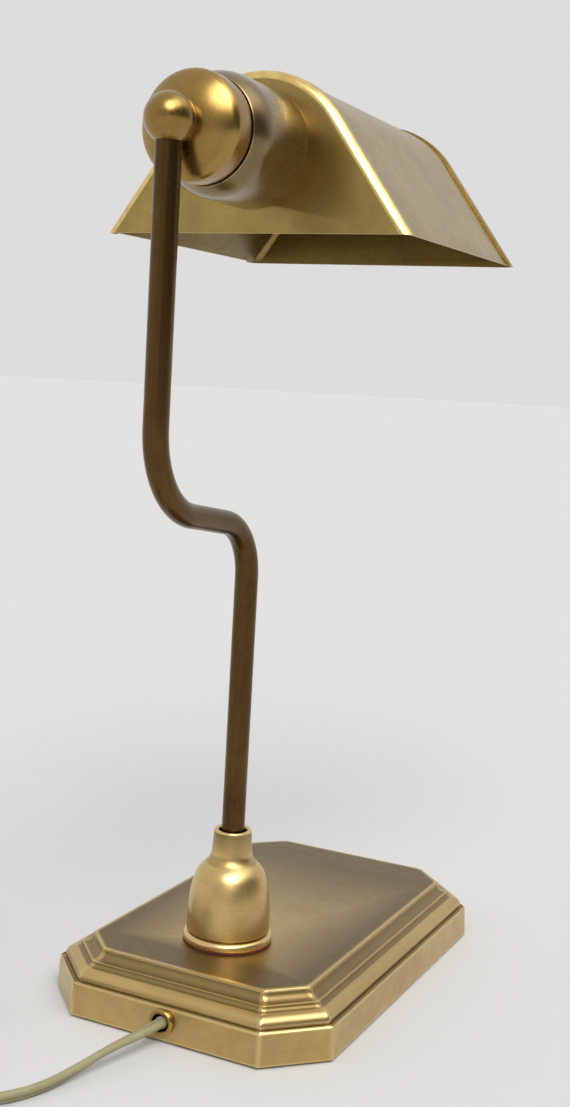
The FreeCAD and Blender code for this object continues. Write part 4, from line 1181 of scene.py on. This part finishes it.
def floor():
    """One wide pale sweep."""
    mesh = bpy.data.meshes.new("floor")
    around = 96
    rim = [(FLOOR_R * math.cos(math.tau * k / around), FLOOR_R * math.sin(math.tau * k / around), 0)
           for k in range(around)]
    mesh.from_pydata(rim, [], [list(range(around))])
    obj = bpy.data.objects.new("floor", mesh)
    bpy.context.scene.collection.objects.link(obj)
    n = Nodes("pale_floor")
    n.set(Base_Color=(0.56, 0.56, 0.555), Roughness=0.9, Specular_IOR_Level=0.1)
    mesh.materials.append(n.material)


def world():
    """Soft white studio: an even pale surround, soft boxes overhead, and black flags low down."""
    scene = bpy.context.scene
    scene.world = bpy.data.worlds.new("studio")
    scene.world.use_nodes = True
    tree = scene.world.node_tree
    tree.nodes.clear()

    def add(kind, **settings):
        node = tree.nodes.new(kind)
        for key, value in settings.items():
            setattr(node, key, value)
        return node

    direction = add("ShaderNodeTexCoord").outputs["Generated"]
    light = None
    for azimuth, elevation, tight, strength in SOFT_BOXES:
        a, e = math.radians(azimuth), math.radians(elevation)
        towards = (math.sin(a) * math.cos(e), -math.cos(a) * math.cos(e), math.sin(e))
        dot = add("ShaderNodeVectorMath", operation="DOT_PRODUCT")
        tree.links.new(direction, dot.inputs[0])
        dot.inputs[1].default_value = towards
        lobe = add("ShaderNodeMapRange", interpolation_type="SMOOTHERSTEP")
        tree.links.new(dot.outputs["Value"], lobe.inputs["Value"])
        lobe.inputs["From Min"].default_value = math.cos(math.radians(tight[1]))
        lobe.inputs["From Max"].default_value = math.cos(math.radians(tight[0]))
        lobe.inputs["To Max"].default_value = strength
        if light is None:
            light = lobe.outputs["Result"]
        else:
            both = add("ShaderNodeMath", operation="ADD")
            tree.links.new(light, both.inputs[0])
            tree.links.new(lobe.outputs["Result"], both.inputs[1])
            light = both.outputs[0]
    total = add("ShaderNodeMath", operation="ADD")
    tree.links.new(light, total.inputs[0])
    total.inputs[1].default_value = SURROUND
    background = add("ShaderNodeBackground")
    background.inputs["Color"].default_value = (1.0, 1.0, 0.995, 1)
    tree.links.new(total.outputs[0], background.inputs["Strength"])
    output = add("ShaderNodeOutputWorld")
    tree.links.new(background.outputs[0], output.inputs["Surface"])
    scene.view_settings.view_transform = "Standard"


FLOOR_R = 40
SURROUND = 0.72
# Azimuth and elevation of each soft box or black flag, how wide its full and fading parts are,
# and its strength.
SOFT_BOXES = [
    (80, 0, (25, 66), -0.62),
    (12, 0, (10, 46), -0.26),
    (30, 45, (5, 24), 7.0),
    (66, 54, (5, 24), 2.6),
    (112, 58, (6, 30), 0.9),
]

camera()
floor()
world()
moulded_base()
felt_pad()
cord_bushing()
bell()
stem()
ball_and_knob()
holder_cup()
shade()
bulb()
flex, flex_path = cord()
on_cord = switch() + [rocker()] + plug()
[tuple(p) for p in flex_path]
